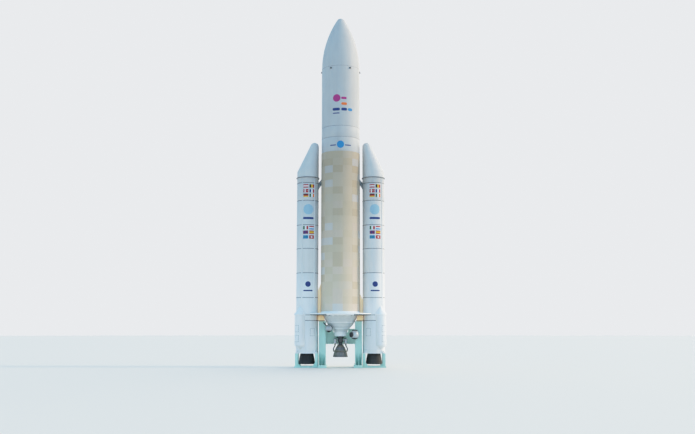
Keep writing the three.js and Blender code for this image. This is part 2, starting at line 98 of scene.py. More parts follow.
sun_from = Vector((1.0, -0.04, 0.46)).normalized()
haze_from = Vector((1.0, 0.85, 0.15)).normalized()
sun_lamp = bpy.data.lights.new("sun", "SUN")
sun_lamp.energy = 1.36
sun_lamp.angle = math.radians(8)
sun_lamp.color = (1.0, 0.76, 0.50)
sun = placed("sun", sun_lamp)
sun.rotation_euler = sun_from.to_track_quat("Z", "Y").to_euler()


def put(tree, kind, feeds=None, **settings):
    """Adds a node, with its settings, and feeds its inputs from sockets or with plain values."""
    node = tree.nodes.new("ShaderNode" + kind)
    for name, value in settings.items():
        setattr(node, name, value)
    for name, value in (feeds or {}).items():
        if isinstance(value, bpy.types.NodeSocket):
            tree.links.new(value, node.inputs[name])
        else:
            node.inputs[name].default_value = value
    return node


def set_stops(ramp, stops):
    """Gives a colour ramp its stops, each a place and a colour."""
    while len(ramp.elements) < len(stops):
        ramp.elements.new(0.5)
    for element, (at, colour) in zip(ramp.elements, stops):
        element.position = at
        element.color = (*colour, 1)


def new_material(name):
    """A plain material and its node tree."""
    material = bpy.data.materials.new(name)
    material.use_nodes = True
    return material, material.node_tree


def mesh_of(shape, name):
    """Turns a shape into a mesh and frees the shape."""
    mesh = bpy.data.meshes.new(name)
    shape.to_mesh(mesh)
    shape.free()
    return mesh


sky = bpy.data.worlds.new("sky")
sky.use_nodes = True
sky_tree = sky.node_tree
way = put(sky_tree, "TexCoord").outputs["Generated"]
hazeward = put(sky_tree, "VectorMath", {0: way, 1: haze_from}, operation="DOT_PRODUCT").outputs["Value"]
sky_share = put(sky_tree, "MapRange", {"Value": hazeward, "From Min": -1.0, "From Max": 1.0})
sky_tint = put(sky_tree, "ValToRGB", {"Fac": sky_share.outputs[0]})
set_stops(sky_tint.color_ramp, (
    (0.0, (0.58, 0.82, 1.0)), (0.5, (0.32, 0.61, 0.93)), (1.0, (1.0, 0.96, 0.88))))
sky_tree.nodes["Background"].inputs["Strength"].default_value = 1.08
haze = put(sky_tree, "MapRange", {"Value": hazeward, "From Min": 0.25, "From Max": 1.0},
           interpolation_type="SMOOTHSTEP")
hazy = put(sky_tree, "Mix", {0: haze.outputs[0], 6: sky_tint.outputs["Color"], 7: (2.1, 1.98, 1.78, 1)},
           data_type="RGBA")
seen = put(sky_tree, "LightPath").outputs["Is Camera Ray"]
sky_shown = put(sky_tree, "Mix", {0: seen, 6: hazy.outputs[2], 7: (0.84, 0.865, 0.90, 1)}, data_type="RGBA")
sky_tree.links.new(sky_shown.outputs[2], sky_tree.nodes["Background"].inputs["Color"])
bpy.context.scene.world = sky

floor_paint, floor_tree = new_material("floor_paint")
floor_shader = floor_tree.nodes["Principled BSDF"]
floor_shader.inputs["Base Color"].default_value = (0.74, 0.72, 0.68, 1)
floor_shader.inputs["Roughness"].default_value = 0.85
floor_shape = bmesh.new()
bmesh.ops.create_circle(floor_shape, cap_ends=True, radius=420, segments=96)
floor = placed("floor", mesh_of(floor_shape, "floor"))
floor.data.materials.append(floor_paint)
floor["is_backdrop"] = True


# Plinth stands.
# Each booster stands on a welded and painted steel frame: a base plate with four box posts under the lugs of
# its aft skirt. Gussets stiffen the posts, head plates carry the lugs, and anchor bolts hold the plate down.

left_right = (("l", -1), ("r", 1))


def reckon(tree, operation, *values, clamp=False):
    """Adds one step of arithmetic on sockets or plain numbers."""
    return put(tree, "Math", dict(enumerate(values)), operation=operation, use_clamp=clamp).outputs[0]


def weather_and_shade_group():
    """Rain streaks, broad blotches, a fine grain, and painted shade that darkens the tone from 3.5 m up to 14
    m, so lower parts look more lit.
    """
    tree = bpy.data.node_groups.new("weather_and_shade", "ShaderNodeTree")
    face = tree.interface
    face.new_socket("Paint", in_out="INPUT", socket_type="NodeSocketColor")
    face.new_socket("Dirt", in_out="INPUT", socket_type="NodeSocketColor")
    for name, start in (("Amount", 0.3), ("Streaks", 3.0), ("Roughness", 0.5), ("Grain", 0.2), ("Fade", 0.0)):
        face.new_socket(name, in_out="INPUT", socket_type="NodeSocketFloat").default_value = start
    face.new_socket("Color", in_out="OUTPUT", socket_type="NodeSocketColor")
    face.new_socket("Roughness", in_out="OUTPUT", socket_type="NodeSocketFloat")
    face.new_socket("Height", in_out="OUTPUT", socket_type="NodeSocketFloat")
    given = tree.nodes.new("NodeGroupInput").outputs
    result = tree.nodes.new("NodeGroupOutput").inputs
    place = put(tree, "TexCoord").outputs["Object"]
    tall = put(tree, "Mapping", {"Vector": place, "Scale": (1, 1, 0.08)}).outputs["Vector"]
    streak = put(tree, "TexNoise", {"Vector": tall, "Scale": given["Streaks"], "Detail": 5.0})
    blotch = put(tree, "TexNoise", {"Vector": place, "Scale": 0.45, "Detail": 4.0})
    grain = put(tree, "TexNoise", {"Vector": place, "Scale": 55.0, "Detail": 3.0})
    streaks = put(tree, "MapRange", {"Value": streak.outputs["Fac"], "From Min": 0.46, "From Max": 0.76})
    blotches = put(tree, "MapRange", {"Value": blotch.outputs["Fac"], "From Min": 0.40, "From Max": 0.72})
    both = reckon(tree, "ADD", streaks.outputs[0], blotches.outputs[0])
    mask = reckon(tree, "MULTIPLY", both, given["Amount"], clamp=True)
    tint = put(tree, "Mix", {0: mask, 6: given["Paint"], 7: given["Dirt"]}, data_type="RGBA")
    # Painted shade: the tone darkens with height, by the given share, so the foot looks lit by more bounced
    # light.
    height_above = put(tree, "SeparateXYZ", {"Vector": place}).outputs["Z"]
    rise = put(tree, "MapRange", {"Value": height_above, "From Min": 3.5, "From Max": 14.0})
    dim = reckon(tree, "MULTIPLY", rise.outputs[0], given["Fade"])
    toned = put(tree, "Mix", {0: dim, 6: tint.outputs[2], 7: (0, 0, 0, 1)}, data_type="RGBA")
    spread = 0.22
    uneven = reckon(tree, "MULTIPLY_ADD", blotch.outputs["Fac"], spread, given["Roughness"])
    tree.links.new(toned.outputs[2], result["Color"])
    tree.links.new(reckon(tree, "SUBTRACT", uneven, spread / 2), result["Roughness"])
    tree.links.new(reckon(tree, "MULTIPLY", grain.outputs["Fac"], given["Grain"]), result["Height"])
    return tree


weather_and_shade = weather_and_shade_group()


def shaded(tree, wear, height, strength, distance):
    """Feeds the shader the weathered colour and roughness, and a bump from a height."""
    shader = tree.nodes["Principled BSDF"]
    bump = put(tree, "Bump", {"Height": height, "Strength": strength, "Distance": distance})
    tree.links.new(wear.outputs["Color"], shader.inputs["Base Color"])
    tree.links.new(wear.outputs["Roughness"], shader.inputs["Roughness"])
    tree.links.new(bump.outputs["Normal"], shader.inputs["Normal"])
    return shader.inputs


def finish(name, paint, dirt, roughness, amount=0.3, grain=0.2, metallic=0.0, height_shade=0.0):
    """Paint or bare metal that has weathered in streaks and blotches, with a fine grain, and painted shade
    that darkens it higher up where asked.
    """
    material, tree = new_material(name)
    wear = put(tree, "Group", {"Paint": (*paint, 1), "Dirt": (*dirt, 1), "Amount": amount, "Streaks": 3.0,
                               "Roughness": roughness, "Grain": grain, "Fade": height_shade}, node_tree=weather_and_shade)
    shader = shaded(tree, wear, wear.outputs["Height"], 0.35, 0.004)
    shader["Metallic"].default_value = metallic
    return material


teal_paint = finish("teal_paint", (0.57, 0.86, 0.77), (0.32, 0.48, 0.42), 0.40, amount=0.28)
dark_steel = finish("dark_steel", (0.10, 0.11, 0.12), (0.20, 0.17, 0.14), 0.42, amount=0.35, metallic=0.8)


def soften(shape, width, segments=2, least=0.6):
    """Rounds every edge that turns by more than least radians."""
    sharp = [e for e in shape.edges if len(e.link_faces) == 2 and e.calc_face_angle() > least]
    bmesh.ops.bevel(shape, geom=sharp, offset=width, offset_type="OFFSET", segments=segments, profile=0.5,
                    affect="EDGES", material=-1, clamp_overlap=True)


def block(shape, low, high):
    """Adds a box between two corners."""
    low = Vector(low)
    high = Vector(high)
    size = high - low
    where = Matrix.Translation((low + high) / 2) @ Matrix.Diagonal((size.x, size.y, size.z, 1))
    return bmesh.ops.create_cube(shape, size=1, matrix=where)["verts"]


def bar(shape, start, end, radius, sides=16, end_radius=None):
    """Adds a round bar, or a cone where it gets an end radius."""
    start = Vector(start)
    along = Vector(end) - start
    where = Matrix.Translation(start + along / 2) @ along.to_track_quat("Z", "Y").to_matrix().to_4x4()
    return bmesh.ops.create_cone(shape, cap_ends=True, segments=sides, radius1=radius,
                                 radius2=radius if end_radius is None else end_radius,
                                 depth=along.length, matrix=where)["verts"]


def gusset(shape, corner, out, up, thick, across):
    """Adds a triangular stiffener in the corner between a plate and a post."""
    side = Vector(across) * thick / 2
    foot = Vector(corner) - side
    corners = (foot, foot + Vector(out), foot + Vector((0, 0, up)))
    face = shape.faces.new([shape.verts.new(p) for p in corners])
    grown = bmesh.ops.extrude_face_region(shape, geom=[face])["geom"]
    bmesh.ops.translate(shape, vec=side * 2, verts=[v for v in grown if isinstance(v, bmesh.types.BMVert)])


def anchor(shape, foot, nut, nut_top, bolt, bolt_top):
    """Adds a nut and the end of its bolt, standing on a point. Each has a radius and a height."""
    foot = Vector(foot)
    bar(shape, foot, foot + Vector((0, 0, nut_top)), nut, 6)
    bar(shape, foot + Vector((0, 0, nut_top)), foot + Vector((0, 0, bolt_top)), bolt, 12)


def fit(shape, name, materials, stands_for=(), body="root", smooth=35):
    """Makes the piece from its shape, gives it its finish and lets it ride on its body."""
    bmesh.ops.recalc_face_normals(shape, faces=shape.faces)
    mesh = mesh_of(shape, name)
    materials = materials if isinstance(materials, list) else [materials]
    for material in materials:
        mesh.materials.append(material)
    mesh.shade_smooth()
    mesh.set_sharp_from_angle(angle=math.radians(smooth))
    piece = placed(name, mesh)
    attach(piece, body)
    if stands_for:
        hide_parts(*stands_for)


booster_low, booster_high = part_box("centre_segment_r")
booster_x = (booster_low.x + booster_high.x) / 2
booster_radius = (booster_high.x - booster_low.x) / 2
stand_plate_top = 0.10
post_at = 0.68
post_half = 0.0875
head_thick = 0.03
stay_out = 0.17
stay_up = 0.26

for side, sign in left_right:
    low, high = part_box(f"booster_stand_{side}")
    middle = sign * booster_x
    stand = bmesh.new()
    block(stand, low, (high.x, high.y, stand_plate_top))
    for x in (middle - post_at, middle + post_at):
        for y in (-post_at, post_at):
            for bottom, top in ((stand_plate_top, high.z - head_thick), (high.z - head_thick, high.z)):
                block(stand, (x - post_half, y - post_half, bottom), (x + post_half, y + post_half, top))
    soften(stand, 0.006)
    for x in (middle - post_at, middle + post_at):
        for y in (-post_at, post_at):
            face_x = x + math.copysign(post_half, middle - x)
            face_y = y - math.copysign(post_half, y)
            way_x = (math.copysign(stay_out, middle - x), 0, 0)
            way_y = (0, -math.copysign(stay_out, y), 0)
            gusset(stand, (face_x, y, stand_plate_top), way_x, stay_up, 0.02, (0, 1, 0))
            gusset(stand, (x, face_y, stand_plate_top), way_y, stay_up, 0.02, (1, 0, 0))
    fit(stand, f"stand_{side}", teal_paint, [f"booster_stand_{side}"])

    anchors = bmesh.new()
    for x in (middle - 0.75, middle + 0.75):
        for y in (-0.45, -0.15, 0.15, 0.45):
            anchor(anchors, (x, y, stand_plate_top), 0.022, 0.028, 0.012, 0.055)
    fit(anchors, f"stand_anchors_{side}", dark_steel)


# Plinth pylons.
# A box column of painted plate stands under each bracket beside the engine, on a long foot that keeps the
# whole launcher upright. Its seams are welded, with ribs across it and gussets down to the foot.

pylon_in = 1.01
pylon_out = 1.485
pylon_half = 0.40
pylon_foot_top = 0.175

for side, sign in left_right:
    low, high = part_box(f"pylon_{side}")
    left, right = sorted((sign * pylon_in, sign * pylon_out))
    pylon = bmesh.new()
    block(pylon, (low.x, low.y, 0), (high.x, high.y, pylon_foot_top))
    block(pylon, (left, -pylon_half, pylon_foot_top), (right, pylon_half, high.z))
    soften(pylon, 0.010)
    for y_sign in (-1, 1):
        for x in (left + 0.04, (left + right) / 2, right - 0.04):
            corner = (x, y_sign * pylon_half, pylon_foot_top)
            gusset(pylon, corner, (0, y_sign * 0.60, 0), 0.70, 0.025, (1, 0, 0))
    for z in (0.95, 1.65, 2.35):
        for y_sign in (-1, 1):
            y_near, y_far = sorted((y_sign * (pylon_half - 0.01), y_sign * (pylon_half + 0.018)))
            block(pylon, (left + 0.004, y_near, z - 0.03), (right - 0.004, y_far, z + 0.03))
    fit(pylon, f"pylon_body_{side}", teal_paint, [f"pylon_{side}"])

    bolts = bmesh.new()
    for x in (left - 0.02, left + 0.16, right - 0.16, right - 0.02):
        for y in (-1.2, -1.08, 1.08, 1.2):
            anchor(bolts, (x, y, pylon_foot_top), 0.02, 0.025, 0.011, 0.045)
    fit(bolts, f"pylon_bolts_{side}", dark_steel)


# Plinth crossbeam.
# A thick plate joins the two pylons behind the engine, with a notch for the gimbal drum. Its teal is paler
# than the pylons' as painted light, where the deck and the engine shade it.
# Flanges and ribs stiffen its back, and bolts hold its front plate and its ends.


def from_node(name):
    """A copy of a node's solid with its triangles joined back into flat faces."""
    shape = bmesh.new()
    shape.from_mesh(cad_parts[name].data)
    bmesh.ops.remove_doubles(shape, verts=shape.verts, dist=1e-4)
    bmesh.ops.dissolve_limit(shape, angle_limit=math.radians(2), verts=shape.verts, edges=shape.edges)
    return shape


def rivets(shape, start, end, face, count, radius=0.008, tall=0.005):
    """Adds a straight row of rivet heads on a face that looks along the given way."""
    for i in range(count):
        at = Vector(start).lerp(Vector(end), i / (count - 1))
        bar(shape, at, at + Vector(face) * tall, radius, 8, radius * 0.6)


# Painted light: a paler copy of the pylons' teal lifts the plate out of the shade it stands in.
teal_with_painted_light = finish("teal_with_painted_light", (0.72, 1.0, 0.91), (0.42, 0.60, 0.53), 0.45, amount=0.25)
low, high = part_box("crossbeam")
beam_front = 0.46
notch_half = 0.52
notch_bottom = 2.38
flange_deep = 0.09
beam = from_node("crossbeam")
soften(beam, 0.008)
flanges = ((low.x + 0.01, high.x - 0.01, low.z + 0.015),
           (low.x + 0.01, -notch_half - 0.01, high.z - 0.015),
           (notch_half + 0.01, high.x - 0.01, high.z - 0.015),
           (-notch_half + 0.01, notch_half - 0.01, notch_bottom - 0.015))
for left, right, z in flanges:
    block(beam, (left, high.y - 0.005, z - 0.012), (right, high.y + flange_deep, z + 0.012))
rib_foot = low.z + 0.03
for x in (0.20, 0.60, 0.98, 1.36):
    for sign in (-1, 1):
        rib_top = (notch_bottom if x < notch_half else high.z) - 0.03
        corner = (sign * x, high.y - 0.004, rib_foot)
        gusset(beam, corner, (0, flange_deep, 0), rib_top - rib_foot, 0.020, (1, 0, 0))
fit(beam, "crossbeam_plate", teal_with_painted_light, ["crossbeam"])

beam_bolts = bmesh.new()
for sign in (-1, 1):
    for x in (0.62, 0.74, 0.86):
        for z in (low.z + 0.07, high.z - 0.07):
            bar(beam_bolts, (sign * x, beam_front - 0.014, z), (sign * x, beam_front, z), 0.018, 6)
    for x in (1.10, 1.39):
        for z in (1.72, 1.97, 2.22, 2.47):
            bar(beam_bolts, (sign * x, high.y, z), (sign * x, high.y + 0.022, z), 0.026, 6)
fit(beam_bolts, "crossbeam_bolts", dark_steel)


# Booster motor cases.
# Rolled steel tubes painted white: three segments, and a skirt above and below with screwed access doors. The
# clevis joints that pin them together show as dark rings with a row of pins. Lugs bolt the aft skirt, which
# is open below, to the stand.


def swung(shape, degrees):
    """Turns a shape about Z."""
    turn = Matrix.Rotation(math.radians(degrees), 3, "Z")
    bmesh.ops.rotate(shape, cent=(0, 0, 0), matrix=turn, verts=shape.verts)
    return shape


def everything(shape):
    """All the corners, edges and faces of a shape."""
    return shape.verts[:] + shape.edges[:] + shape.faces[:]


def close_holes(shape):
    """Fills every open edge loop with a face."""
    bmesh.ops.holes_fill(shape, edges=[e for e in shape.edges if e.is_boundary], sides=0)


def turned(outline, steps=96, sweep=360.0, start=0.0):
    """Spins [radius, height] pairs about Z, from an angle counted from the front towards +X."""
    shape = bmesh.new()
    points = [shape.verts.new((0, -r, z)) for r, z in outline]
    lines = [shape.edges.new(pair) for pair in zip(points, points[1:])]
    bmesh.ops.spin(shape, geom=points + lines, cent=(0, 0, 0), axis=(0, 0, 1), angle=math.radians(sweep),
                   steps=steps, use_merge=sweep == 360.0, use_duplicate=False)
    bmesh.ops.remove_doubles(shape, verts=shape.verts, dist=1e-5)
    if outline[0] == outline[-1] and sweep < 360.0:
        close_holes(shape)
    swung(shape, start)
    bmesh.ops.recalc_face_normals(shape, faces=shape.faces)
    return shape


def disc(radius, bottom, top, steps=64):
    """A solid round plate or tube between two heights."""
    return turned([(0, bottom), (radius, bottom), (radius, top), (0, top)], steps)


def hoop(inner, outer, bottom, top, steps=96, sweep=360.0, start=0.0):
    """A ring with square edges, or a length of one."""
    outline = [(inner, bottom), (outer, bottom), (outer, top), (inner, top), (inner, bottom)]
    return turned(outline, steps, sweep, start)


def band(radius, z, half, proud, steps=96, sweep=360.0, start=0.0):
    """A flat ring round a tube, sunk a little into it."""
    return hoop(radius - 0.008, radius + proud, z - half, z + half, steps, sweep, start)


def moved(shape, x=0.0, y=0.0, z=0.0):
    """Shifts a shape."""
    bmesh.ops.translate(shape, vec=(x, y, z), verts=shape.verts)
    return shape


def add(shape, other):
    """Puts another shape into this one."""
    carrier = mesh_of(other, "carrier")
    shape.from_mesh(carrier)
    bpy.data.meshes.remove(carrier)


def repeated(shape, count):
    """Copies all that is in the shape evenly round Z."""
    bmesh.ops.spin(shape, geom=everything(shape), cent=(0, 0, 0), axis=(0, 0, 1), steps=count - 1,
                   angle=math.tau * (count - 1) / count, use_duplicate=True)
    return shape


def bolt_ring(shape, start, end, size, count, sides=6):
    """Adds bolts evenly round Z, each between two [radius, height] points."""
    bolt = bmesh.new()
    bar(bolt, (0, -start[0], start[1]), (0, -end[0], end[1]), size, sides)
    add(shape, repeated(bolt, count))


def carved(shape, cutter):
    """Cuts one closed shape out of another."""
    pair = []
    for name, part in (("carved", shape), ("cutter", cutter)):
        bmesh.ops.recalc_face_normals(part, faces=part.faces)
        pair.append(placed(name, mesh_of(part, name)))
    cut = pair[0].modifiers.new("cut", "BOOLEAN")
    cut.operation = "DIFFERENCE"
    cut.solver = "EXACT"
    cut.object = pair[1]
    depsgraph = bpy.context.evaluated_depsgraph_get()
    finished = bpy.data.meshes.new_from_object(pair[0].evaluated_get(depsgraph))
    result = bmesh.new()
    result.from_mesh(finished)
    for thing in pair:
        bpy.data.meshes.remove(thing.data)
    bpy.data.meshes.remove(finished)
    return result


def hatch(radius, bottom, top, degrees, middle):
    """A curved access door on a tube, at an angle from the front, with screws and a dark joint round it."""
    door = bmesh.new()
    for grow, proud, number in ((0.010, 0.0015, 1), (0.0, 0.005, 0)):
        wide = degrees + 2 * math.degrees(grow / radius)
        plate = hoop(radius - 0.006, radius + proud, bottom - grow, top + grow, 8, wide, middle - wide / 2)
        for face in plate.faces:
            face.material_index = number
        add(door, plate)
    screws = bmesh.new()
    edge = 0.025
    for i in range(4):
        z = bottom + edge + (top - bottom - 2 * edge) * i / 3
        for side in (-1, 1):
            turn = math.radians(middle + side * degrees / 2) - side * edge / radius
            out = Vector((math.sin(turn), -math.cos(turn), 0))
            foot = out * (radius + 0.003) + Vector((0, 0, z))
            bar(screws, foot, foot + out * 0.005, 0.008, 8)
    for face in screws.faces:
        face.material_index = 1
    add(door, screws)
    return door


# The white paint gets painted shade that darkens it higher up.
white_paint = finish("white_paint", (0.90, 0.915, 0.92), (0.58, 0.59, 0.57), 0.54, amount=0.20, grain=0.08,
                     height_shade=0.42)
# Dark seal paint for the joints, also used as painted shade on the brackets.
seal_and_shade = finish("seal_and_shade", (0.12, 0.13, 0.14), (0.24, 0.24, 0.23), 0.6, amount=0.3)

ring_half = 0.016
ring_proud = 0.007
plain_joints = [9.805, 8.15, 4.76, 3.565]
skirt_wall = 0.045
skirt_roof = 1.85
collar_proud = 0.055
collar_tall = 0.05
lug_bottom = 0.985

for side, sign in left_right:
    axis_x = sign * booster_x
    for node in ("forward_segment", "centre_segment", "aft_segment"):
        low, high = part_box(f"{node}_{side}")
        tube = disc(booster_radius, low.z, high.z, 128)
        soften(moved(tube, axis_x), 0.004)
        fit(tube, f"{node}_tube_{side}", white_paint, [f"{node}_{side}"])

    low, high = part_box(f"forward_skirt_{side}")
    collar_bottom = high.z - collar_tall
    collar_radius = booster_radius + collar_proud
    skirt = turned([(0, low.z), (booster_radius, low.z), (booster_radius, collar_bottom),
                    (collar_radius, collar_bottom), (collar_radius, high.z - 0.006),
                    (booster_radius + 0.01, high.z - 0.006), (booster_radius - 0.01, high.z),
                    (0, high.z)], 128)
    soften(moved(skirt, axis_x), 0.004)
    for face in skirt.faces:
        middle = face.calc_center_median()
        face.material_index = int(math.hypot(middle.x - axis_x, middle.y) > booster_radius + 0.012
                                  and middle.z < high.z - 0.012)
    fit(skirt, f"forward_skirt_shell_{side}", [white_paint, seal_and_shade], [f"forward_skirt_{side}"])

    low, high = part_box(f"aft_skirt_{side}")
    skirt = turned([(booster_radius - skirt_wall, low.z), (booster_radius, low.z), (booster_radius, high.z),
                    (0, high.z), (0, skirt_roof), (booster_radius - skirt_wall, skirt_roof),
                    (booster_radius - skirt_wall, low.z)], 128)
    soften(moved(skirt, axis_x), 0.004)
    fit(skirt, f"aft_skirt_shell_{side}", white_paint, [f"aft_skirt_{side}"])

    doors = bmesh.new()
    for bottom, top, degrees, middle in ((2.15, 2.65, 24, sign * -32), (2.15, 2.65, 24, 180 + sign * 25),
                                         (12.99, 13.13, 22, 180 - sign * 30)):
        add(doors, hatch(booster_radius, bottom, top, degrees, middle))
    fit(moved(doors, axis_x), f"skirt_doors_{side}", [white_paint, seal_and_shade])

    cases = ("forward_skirt", "forward_segment", "centre_segment", "aft_segment")
    case_joints = [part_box(f"{node}_{side}")[0].z for node in cases]
    rings = bmesh.new()
    pins = bmesh.new()
    for z in case_joints + plain_joints:
        ring = band(booster_radius, z, ring_half, ring_proud)
        soften(ring, 0.003, 1)
        add(rings, ring)
        bolt_ring(pins, (booster_radius, z), (booster_radius + ring_proud + 0.004, z), 0.008, 60, 8)
    fit(moved(rings, axis_x), f"joint_rings_{side}", seal_and_shade)
    fit(moved(pins, axis_x), f"joint_pins_{side}", dark_steel)

    foot = bmesh.new()
    ledge = band(booster_radius, 3.63, 0.024, 0.028)
    soften(ledge, 0.006)
    add(foot, ledge)
    add(foot, band(booster_radius, 0.985, 0.035, 0.010))
    add(foot, band(booster_radius, 1.30, 0.012, 0.010))
    for angle in (45, 135, 225, 315):
        lug = bmesh.new()
        block(lug, (-0.075, -1.025, lug_bottom - 0.035), (0.075, -booster_radius + 0.02, lug_bottom))
        block(lug, (-0.075, -booster_radius - 0.03, lug_bottom), (0.075, -booster_radius + 0.02, 1.175))
        soften(lug, 0.005)
        for x in (-0.06, 0.06):
            gusset(lug, (x, -booster_radius - 0.03, lug_bottom), (0, -0.20, 0), 0.185, 0.02, (1, 0, 0))
        anchor(lug, (0, -0.93, lug_bottom), 0.032, 0.035, 0.018, 0.075)
        add(foot, swung(lug, angle))
    fit(moved(foot, axis_x), f"hold_downs_{side}", white_paint)


# Booster noses.
# Light painted shells on the forward skirts. The side towards the core is upright and the others lean in to a
# round tip, so each is a skewed cone. A thin seam runs round where the cone starts.

# The nose paint gets painted shade that darkens it higher up.
nose_paint = finish("nose_paint", (0.90, 0.915, 0.92), (0.60, 0.61, 0.59), 0.52, amount=0.15, grain=0.08,
                    height_shade=0.31)
nose_slant = 13.62
nose_tip_radius = 0.30


def lean(z, foot, centre, radius):
    """Half width, at a height, of a side that leans from its foot to a circle and then follows the circle."""
    gap = Vector(centre) - Vector(foot)
    angle = math.atan2(gap.y, gap.x) - math.asin(radius / gap.length)
    reach = math.sqrt(gap.length_squared - radius ** 2)
    touch = Vector(foot) + reach * Vector((math.cos(angle), math.sin(angle)))
    if z <= touch.y:
        return foot[0] + (touch.x - foot[0]) * (z - foot[1]) / (touch.y - foot[1])
    return centre[0] + math.sqrt(max(radius ** 2 - (z - centre[1]) ** 2, 0.0))


for side, sign in left_right:
    low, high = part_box(f"nose_cone_{side}")
    axis_x = sign * booster_x
    tip_z = high.z - nose_tip_radius
    offset = booster_radius - nose_tip_radius
    heights = [nose_slant + (tip_z - nose_slant) * i / 8 for i in range(8)]
    heights += [tip_z + nose_tip_radius * math.sin(math.radians(i * 7.2)) for i in range(12)]
    heights.append(high.z - 0.001)
    nose = bmesh.new()
    sections = [(low.z, 0.0, booster_radius, booster_radius)]
    foot = (booster_radius, nose_slant)
    for z in heights:
        outer = lean(z, foot, (-offset, tip_z), nose_tip_radius)
        inner = lean(z, foot, (offset, tip_z), nose_tip_radius)
        front = lean(z, foot, (0.0, tip_z), nose_tip_radius)
        sections.append((z, sign * (outer - inner) / 2, (outer + inner) / 2, front))
    loops = []
    for z, x, half_x, half_y in sections:
        where = Matrix.Translation((axis_x + x, 0, z)) @ Matrix.Diagonal((half_x, half_y, 1, 1))
        ring = bmesh.ops.create_circle(nose, segments=96, radius=1, matrix=where)["verts"]
        loops.append(list({edge for v in ring for edge in v.link_edges}))
    for lower, upper in zip(loops, loops[1:]):
        bmesh.ops.bridge_loops(nose, edges=lower + upper)
    bmesh.ops.holes_fill(nose, edges=loops[0] + loops[-1], sides=0)
    soften(nose, 0.010, 3, 1.2)
    fit(nose, f"nose_shell_{side}", nose_paint, [f"nose_cone_{side}"], smooth=40)
    seam = band(booster_radius, nose_slant, 0.006, 0.002)
    fit(moved(seam, axis_x), f"nose_seam_{side}", nose_paint)


# Booster cable ducts.
# Two low rounded covers run up each booster over its cables. They are pressed from sheet, held down by narrow
# straps, and painted with the booster.

duct_degrees = 8.4
duct_proud = 0.032
strap_step = 0.66


def hump(low_z, high_z, degrees, middle, proud, steps=16):
    """A low rounded cover with closed ends that runs up a booster, at an angle from the front."""
    shape = bmesh.new()
    base = booster_radius - 0.004
    loops = []
    for z, lift in ((low_z, 0.2), (low_z + 0.02, 1.0), (high_z - 0.02, 1.0), (high_z, 0.2)):
        loop = []
        for i in range(steps + 1):
            turn = math.radians(middle + degrees * (i / steps - 0.5))
            r = base + 0.004 + proud * lift * math.sin(math.pi * i / steps) ** 0.8
            loop.append(shape.verts.new((r * math.sin(turn), -r * math.cos(turn), z)))
        for i in (1, 0, -1):
            turn = math.radians(middle + degrees * i / 2)
            loop.append(shape.verts.new((base * math.sin(turn), -base * math.cos(turn), z)))
        loops.append(loop)
    for lower, upper in zip(loops, loops[1:]):
        for i in range(len(lower)):
            j = (i + 1) % len(lower)
            shape.faces.new((lower[i], lower[j], upper[j], upper[i]))
    shape.faces.new(loops[0])
    shape.faces.new(loops[-1])
    return shape


for side, sign in left_right:
    for number in (1, 2):
        node = f"cable_duct_{side}{number}"
        low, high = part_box(node)
        middle = (low + high) / 2 - Vector((sign * booster_x, 0, 0))
        angle = math.degrees(math.atan2(middle.x, -middle.y))
        cover = hump(low.z, high.z, duct_degrees, angle, duct_proud)
        for i in range(1, int((high.z - low.z) / strap_step)):
            z = low.z + i * strap_step
            add(cover, hump(z - 0.014, z + 0.014, duct_degrees + 1.2, angle, duct_proud + 0.004))
        fit(moved(cover, sign * booster_x), f"duct_cover_{side}{number}", white_paint, [node])


# Booster pods.
# An upright tank under a conical cap stands on the outer front of each booster's foot. It is white sheet
# metal with a lip under the cap, stiffening bands, two access doors, and a cone below.

pod_out = 0.45
pod_front = 0.615
pod_radius = 0.37
pod_lip = 0.425

for side, sign in left_right:
    low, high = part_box(f"pod_{side}")
    pod = turned([(0, low.z), (0.05, low.z), (pod_radius, 1.50), (pod_radius, 3.54), (pod_lip, 3.57),
                  (pod_lip, 3.60), (0.02, high.z), (0, high.z)], 72)
    soften(pod, 0.008, 2, 0.5)
    pod_x = sign * (booster_x + pod_out)
    case = disc(booster_radius - 0.003, 0.5, 5, 128)
    tank = carved(moved(pod, pod_x, -pod_front), moved(case, sign * booster_x))
    outward = sign * math.degrees(math.atan2(pod_out, pod_front))
    trim = [band(pod_radius, z, 0.018, 0.006, 48, 204.0, outward - 102.0) for z in (1.62, 2.30, 2.98)]
    trim += [hatch(pod_radius, z, z + 0.42, 46, outward) for z in (2.42, 1.75)]
    for part in trim:
        add(tank, moved(part, pod_x, -pod_front))
    fit(tank, f"pod_tank_{side}", [white_paint, seal_and_shade], [f"pod_{side}"])


# Booster nozzles.
# Each is a black carbon bell with stiffening rings, which swings on two crossed steel pins. The upper lugs
# hang from the roof of the aft skirt and the lower lugs stand on the nozzle's bolted head.

nozzle_carbon = finish("nozzle_carbon", (0.030, 0.030, 0.032), (0.09, 0.085, 0.08), 0.72, amount=0.5,
                       grain=0.5)
gimbal_reach = 0.23
gimbal_lug = 0.055
gimbal_half = 0.075
gimbal_pin = 0.0375
gimbal_hole = 0.0386


def bell_curve(top, top_radius, bottom, exit_radius, steps=24):
    """Outside of a curved bell from its exit up, as [radius, height]."""
    mouth = Vector((exit_radius, bottom))
    waist = Vector(((top_radius + 2 * exit_radius) / 3, (2 * top + bottom) / 3))
    throat = Vector((top_radius, top))
    points = []
    for i in range(steps + 1):
        t = i / steps
        point = mouth * (1 - t) ** 2 + waist * 2 * t * (1 - t) + throat * t ** 2
        points.append((point.x, point.y))
    return points


def bell_radius(curve, z):
    """Outside radius of a bell at a height."""
    for (r0, z0), (r1, z1) in zip(curve, curve[1:]):
        if z0 <= z <= z1:
            return r0 + (r1 - r0) * (z - z0) / (z1 - z0)
    return curve[-1][0]


